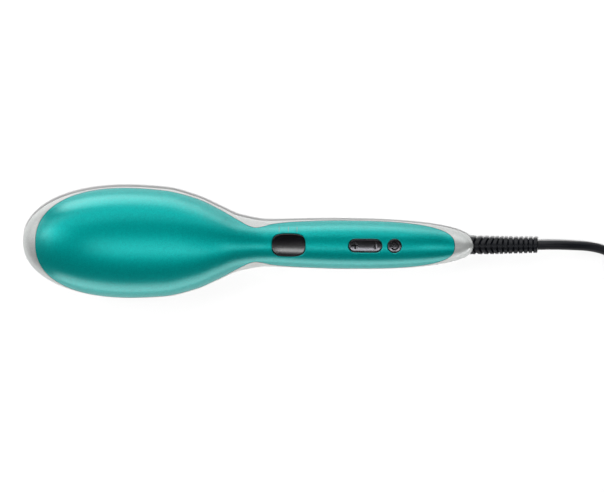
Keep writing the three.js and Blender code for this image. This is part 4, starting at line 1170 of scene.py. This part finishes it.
def posts_tree():
    """A node tree that stands a tapered post with a round tip on each point."""
    tree, given, result = group(
        "posts on places", {"Places": "Geometry", "Tip Radius": 0.001, "Root Radius": 0.001, "Length": 0.01,
                            "Sides": 16, "Material": "Material"}, {"Posts": "Geometry"}, "Geometry")
    cone = add(tree, "GeometryNodeMeshCone", {
        "Vertices": given["Sides"], "Side Segments": 5, "Radius Bottom": given["Tip Radius"],
        "Radius Top": given["Root Radius"], "Depth": given["Length"]}, fill_type="NONE")
    tip = add(tree, "GeometryNodeMeshUVSphere", {
        "Segments": given["Sides"], "Rings": 10, "Radius": given["Tip Radius"]})
    both = add(tree, "GeometryNodeJoinGeometry")
    tree.links.new(cone.outputs["Mesh"], both.inputs[0])
    tree.links.new(tip.outputs["Mesh"], both.inputs[0])
    values = {"Points": given["Places"], "Instance": both.outputs[0]}
    posts = add(tree, "GeometryNodeInstanceOnPoints", values).outputs[0]
    for kind in ("RealizeInstances", "SetShadeSmooth", "SetMaterial"):
        node = add(tree, "GeometryNode" + kind, {"Geometry": posts})
        posts = node.outputs[0]
    tree.links.new(given["Material"], node.inputs["Material"])
    tree.links.new(posts, result[0])
    return tree


POSTS = posts_tree()


def grow_posts(name, places, tip, root, length, material, sides=16):
    """A mesh of one post at each place (s, y, height of its tip's centre)."""
    source = link_new(name, new_mesh(name, along_body(places), []))
    modifier = source.modifiers.new("posts", "NODES")
    modifier.node_group = POSTS
    settings = {"Tip Radius": tip * MM, "Root Radius": root * MM, "Length": length * MM,
                "Sides": sides, "Material": MATERIALS[material]}
    for item in POSTS.interface.items_tree:
        if item.name in settings:
            modifier[item.identifier] = settings[item.name]
    posts = finished_mesh(source)
    delete(source)
    return link_new(name, posts)


def join(piece, *others):
    """Joins other pieces' meshes into one piece."""
    with bpy.context.temp_override(active_object=piece, selected_editable_objects=[piece, *others]):
        bpy.ops.object.join()


def swept_ring(name, outline, section, material):
    """A closed band along an outline, its section given as (growth of the outline, height)."""
    loops = [outline(grow) for grow, _ in section]
    points = [(s - HALF, y, z) for loop, (_, z) in zip(loops, section) for s, y in loop]
    return new_piece(name, points, loft_faces(len(section), len(loops[0]), closed=True), material)


def slab(name, outline, section, material):
    """A slab inside an outline: its section runs from its underside's edge to its top's edge."""
    rings = [[(s - HALF, y, z) for s, y in outline(grow)] for grow, z in section]
    return new_piece(name, *ring_loft(rings), material)


def rounded(grow0, z0, grow1, z1, steps=5):
    """A quarter round from one point of a section to another, straight along the growth at its start."""
    return [(mix(grow0, grow1, sin(pi / 2 * i / steps)),
             mix(z0, z1, 1 - cos(pi / 2 * i / steps))) for i in range(steps + 1)]


def frame_screws():
    """The places of the two screws through the guard frame's ring."""
    return [FIELD_CENTRE - FRAME_FRONT + FRAME_RING / 2, FIELD_CENTRE + FRAME_REAR - FRAME_RING / 2]


def add_guard_frame():
    """The ring round the heated field, with a row of cool bristles."""
    flange_low = HEAD_FLOOR + WALL + GAP
    flange_high = flange_low + FLANGE_THICK
    section = [
        (-FRAME_RING, flange_low),
        *rounded(-FRAME_RING, FRAME_BOTTOM + INNER_ROUNDING, -FRAME_RING + INNER_ROUNDING, FRAME_BOTTOM),
        *rounded(-OUTER_ROUNDING, FRAME_BOTTOM, 0, FRAME_BOTTOM + OUTER_ROUNDING),
        (0, flange_low), (FLANGE_REACH, flange_low), (FLANGE_REACH, flange_high), (-FRAME_RING, flange_high),
    ]
    ring = swept_ring("frame_ring", field_outline, section, "black_plastic")
    seats = [prism(circle_outline(GAP, s, SCREW_HEAD_R), 0, FRAME_BOTTOM + 2.4) for s in frame_screws()]
    cut_away(ring, seats)
    places = [(s, y, GUARD_TIP_R) for s, y in even_loop(field_outline(-FRAME_RING / 2), GUARD_COUNT)]
    join(ring, grow_posts("guard_bristles", places, GUARD_TIP_R, GUARD_ROOT_R,
                          FRAME_BOTTOM + 0.4 - GUARD_TIP_R, "black_plastic"))
    return dress(ring, "black_plastic", "guard_frame")


def pin_places():
    """The staggered grid of pins inside the plate's oval: (s, y, hollow)."""
    room_half = FRAME_HALF - PLATE_INSET - PIN_MARGIN
    rows = floor(room_half / PIN_PITCH)
    places = []
    for row in range(-rows, rows + 1):
        y = row * PIN_PITCH
        room = round_end(abs(y) / room_half, FIELD_POWER)
        front = FIELD_CENTRE - (FRAME_FRONT - PLATE_INSET - PIN_MARGIN) * room
        rear = FIELD_CENTRE + (FRAME_REAR - PLATE_INSET - PIN_MARGIN) * room
        shift = 0.5 if row % 2 else 0
        n = ceil((front - FIELD_CENTRE) / PIN_PITCH - shift)
        while FIELD_CENTRE + (n + shift) * PIN_PITCH <= rear:
            places.append((FIELD_CENTRE + (n + shift) * PIN_PITCH, y, row != 0))
            n += 1
    return places


def add_heater_plate():
    """The coated plate and its pins. The hollow pins end in an insulated tip."""
    coat = "coated_aluminium"
    edge = rounded(-PLATE_INSET - 0.6, PLATE_BOTTOM, -PLATE_INSET, PLATE_BOTTOM + 0.6)
    plate = slab("plate_face", field_outline, [*edge, (-PLATE_INSET, PLATE_TOP)], coat)
    root = PLATE_BOTTOM + 0.3
    for name, end, tip_r, hollow_row in (
            ("hollow_pins", PIN_END + PIN_TIP_RISE, PIN_TIP_R, True),
            ("short_pins", SHORT_PIN_END + SHORT_PIN_TIP_R, SHORT_PIN_TIP_R, False)):
        places = [(s, y, end) for s, y, hollow in pin_places() if hollow == hollow_row]
        join(plate, grow_posts(name, places, tip_r, PIN_R, root - end, coat, 20))
    return dress(plate, coat, "heater_plate")


def add_tips():
    """The insulated tips that stand out of the hollow pins, and the web that carries them."""
    web_low = PLATE_TOP + GAP
    edge = -PLATE_INSET - WEB_MARGIN
    section = [(edge, web_low), (edge, web_low + WEB_THICK)]
    web = slab("tip_web", field_outline, section, "comb_plastic")
    places = [(s, y, CAP_END + CAP_TIP_R) for s, y, hollow in pin_places() if hollow]
    join(web, grow_posts("pin_tips", places, CAP_TIP_R, CAP_R, CAP_LENGTH, "comb_plastic", 20))
    return dress(web, "comb_plastic", "tip_comb")


def add_screws():
    """Screws with a crosswise recess, seen from below."""
    front, rear = frame_screws()
    seats = {"head_screw_front": (front, FRAME_BOTTOM + GAP), "head_screw_rear": (rear, FRAME_BOTTOM + GAP)}
    for name, (s, top) in HOUSING_SCREWS.items():
        seats[f"housing_screw_{name}"] = (s, top - SCREW_SEAT - GAP - SCREW_HEAD_THICK)
    for node, (s, low) in seats.items():
        length = (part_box(node)[1].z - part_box(node)[0].z) / MM
        profile = [
            (0, 0), (1.6, 0.02), (2.15, 0.12), (2.42, 0.34), (SCREW_HEAD_R, 0.6),
            (SCREW_HEAD_R, SCREW_HEAD_THICK), (SCREW_R, SCREW_HEAD_THICK + 0.02), (SCREW_R, length - 0.6),
            (0.7, length), (0, length)]
        points, faces = lathe(profile, 40)
        screw = new_piece(node + "_cross", [(s - HALF + x, y, low + z) for x, y, z in points], faces, "steel")
        cut_away(screw, [prism(bar_outline(s, along, across), low - 1, low + 0.9)
                         for along, across in ((1.5, 0.34), (0.34, 1.5))])
        dress(screw, "steel", node)


add_guard_frame()
add_heater_plate()
add_tips()
add_screws()


# Carried parts inside the housing

SLOT_OF = {part["node"]: part["material_slot"] for part in frame["record"]["subparts"]}
for node_name, node_object in frame["nodes"].items():
    if node_object.hide_render:
        continue
    node_object.data.materials.clear()
    node_object.data.materials.append(MATERIALS[SLOT_OF[node_name]])


# Studio

POWER_OF_RADIANCE = 4       # watts for each square metre of a lamp, at a radiance of one


def soft_box(name, place, size, radiance, aim, turn=0.0, along=None, across=None, receivers=()):
    """A rectangular lamp that faces a point, with its first size along X.

    turn is in degrees about its own axis. along and across give the shares of its light
    at the two ends of its first and of its second size. With receivers it lights only these."""
    data = bpy.data.lights.new(name, "AREA")
    data.shape = "RECTANGLE"
    data.size = size[0] * MM
    data.size_y = size[1] * MM
    data.energy = POWER_OF_RADIANCE * radiance * data.size * data.size_y
    lamp = link_new(name, data)
    out = (Vector(place) - Vector(aim)).normalized()
    right = Vector((1, 0, 0)) if abs(out.x) < 0.9 else Vector((0, 1, 0))
    right = Matrix.Rotation(radians(turn), 3, out) @ right
    up = out.cross(right).normalized()
    lamp.rotation_euler = facing(up.cross(out), up, out)
    lamp.location = Vector(place) * MM
    lamp.visible_camera = False
    if along or across:
        data.use_nodes = True
        tree = data.node_tree
        spot = add(tree, "ShaderNodeNewGeometry").outputs["Parametric"]
        axes = add(tree, "ShaderNodeSeparateXYZ", {"Vector": spot}).outputs
        share = 1.0
        for axis, ends in zip(axes, (along, across)):
            if ends:
                share = math_node(tree, "MULTIPLY", ramp(tree, axis, 0, 1, *ends), share)
        tree.links.new(share, tree.nodes["Emission"].inputs["Strength"])
    if receivers:
        lit = bpy.data.collections.new(name)
        for piece in receivers:
            lit.objects.link(piece)
        lamp.light_linking.receiver_collection = lit


def add_studio(sweep):
    """Lamps round the object. The two strips over the keys and the neck leave the silver shell out."""
    centre = (-20, 0, 20)
    meshes = [item for item in scene.objects if item.type == "MESH"]
    shell = [item for item in meshes if item.name == "shell_skin"]
    others = [item for item in meshes if item.name != "shell_skin"]
    soft_box("side_box_far", (-20, 820, 300), (1300, 590), 2.05, centre, along=(1.25, 0.5), across=(1.2, 0.8))
    soft_box("side_box_near", (-20, -820, 240), (1300, 470), 1.55, centre,
             along=(1.06, 0.84), across=(1.35, 0.65))
    soft_box("nose_box", (-1000, 260, 330), (600, 420), 1.1, centre)
    soft_box("far_fill", (-250, 650, 960), (1700, 430), 1.5, centre, turn=12)
    soft_box("nose_strip", (-1150, 220, 1250), (560, 400), 3.9, centre, turn=-19)
    soft_box("head_strip", (-115, -88, 700), (350, 118), 4.6, (-115, 0, 30), turn=-7, along=(0.75, 1.15))
    soft_box("key_strip", (240, -268, 1250), (150, 125), 7.5, (90, 0, 30), receivers=others)
    soft_box("neck_strip", (600, -200, 1250), (200, 200), 9.5, centre, receivers=others)
    soft_box("shadow_lamp", (-20, -25, 2300), (90, 90), 2550, centre, receivers=[sweep])
    soft_box("tail_fill", (760, -640, 420), (500, 400), 3.1, centre, receivers=shell)


def square(reach, z=0):
    """The corners of a level square over the origin."""
    return [(x * reach, y * reach, z) for x, y in ((-1, -1), (1, -1), (1, 1), (-1, 1))]


def studio_piece(name, points, faces, material):
    """A mesh of the studio, with a material of its own."""
    piece = link_new(name, new_mesh(name, points, faces))
    piece.data.materials.append(material)
    return piece


TENT_REACH = 1500
TENT_LOW = -5
TENT_TOP = 2400


def add_tent():
    """Dark cloth round the stage that keeps reflections clean. The camera looks through it."""
    material = new_material("tent cloth", Base_Color=(0.02, 0.02, 0.02, 1), Roughness=0.9)[0]
    points = square(TENT_REACH, TENT_LOW) + square(TENT_REACH, TENT_TOP)
    tent = studio_piece("tent", points, [(4, 5, 6, 7), *loft_faces(2, 4)], material)
    tent.visible_camera = False


FLOOR_REACH = 1490
FLOOR_GREY = (0.4, 0.4, 0.4, 1)
FLOOR_GLOW = 0.15
PLAIN_CENTRE = (0.11, 0, 0)     # the floor turns plain white between two distances from here, in metres
PLAIN_FROM = 0.33
PLAIN_AT = 0.55


def seen_directly(tree):
    """One for the rays of the camera, of a mirror and of clear glass, and nought for those that light."""
    rays = add(tree, "ShaderNodeLightPath").outputs
    seen = math_node(tree, "MAXIMUM", rays["Is Camera Ray"], rays["Is Glossy Ray"])
    return math_node(tree, "MAXIMUM", seen, rays["Is Transmission Ray"])


def add_floor():
    """White sweep that keeps the object's shadow, and is plain white where no shadow reaches."""
    material, tree, shader, place = new_material("white sweep", Roughness=0.9)
    cloth = add(tree, "ShaderNodeBsdfDiffuse", {"Color": FLOOR_GREY})
    seen = seen_directly(tree)
    glow = add(tree, "ShaderNodeEmission", {"Strength": math_node(tree, "MULTIPLY", seen, FLOOR_GLOW)})
    near = add(tree, "ShaderNodeAddShader", {0: cloth.outputs[0], 1: glow.outputs[0]})
    away = add(tree, "ShaderNodeVectorMath", {0: place, 1: PLAIN_CENTRE}, operation="DISTANCE")
    share = math_node(tree, "MULTIPLY", seen, ramp(tree, away.outputs["Value"], PLAIN_FROM, PLAIN_AT))
    plain = add(tree, "ShaderNodeEmission", {"Strength": 1.0})
    top = add(tree, "ShaderNodeMixShader", {0: share, 1: near.outputs[0], 2: plain.outputs[0]})
    clear = add(tree, "ShaderNodeBsdfTransparent")
    below = add(tree, "ShaderNodeNewGeometry").outputs["Backfacing"]
    side = add(tree, "ShaderNodeMixShader", {0: below, 1: top.outputs[0], 2: clear.outputs[0]})
    tree.links.new(side.outputs[0], tree.nodes["Material Output"].inputs["Surface"])
    tree.nodes.remove(shader)
    floor = studio_piece("sweep", square(FLOOR_REACH), [(0, 1, 2, 3)], material)
    return floor


WORLD_LIGHT = 0.4


def set_world():
    """White where it is seen, and dimmer where it lights."""
    world = bpy.data.worlds.new("studio")
    world.use_nodes = True
    scene.world = world
    tree = world.node_tree
    back = tree.nodes["Background"].inputs
    back["Color"].default_value = (1, 1, 1, 1)
    strength = math_node(tree, "MULTIPLY_ADD", seen_directly(tree), 1 - WORLD_LIGHT, WORLD_LIGHT)
    tree.links.new(strength, back["Strength"])


add_tent()
add_studio(add_floor())
set_world()
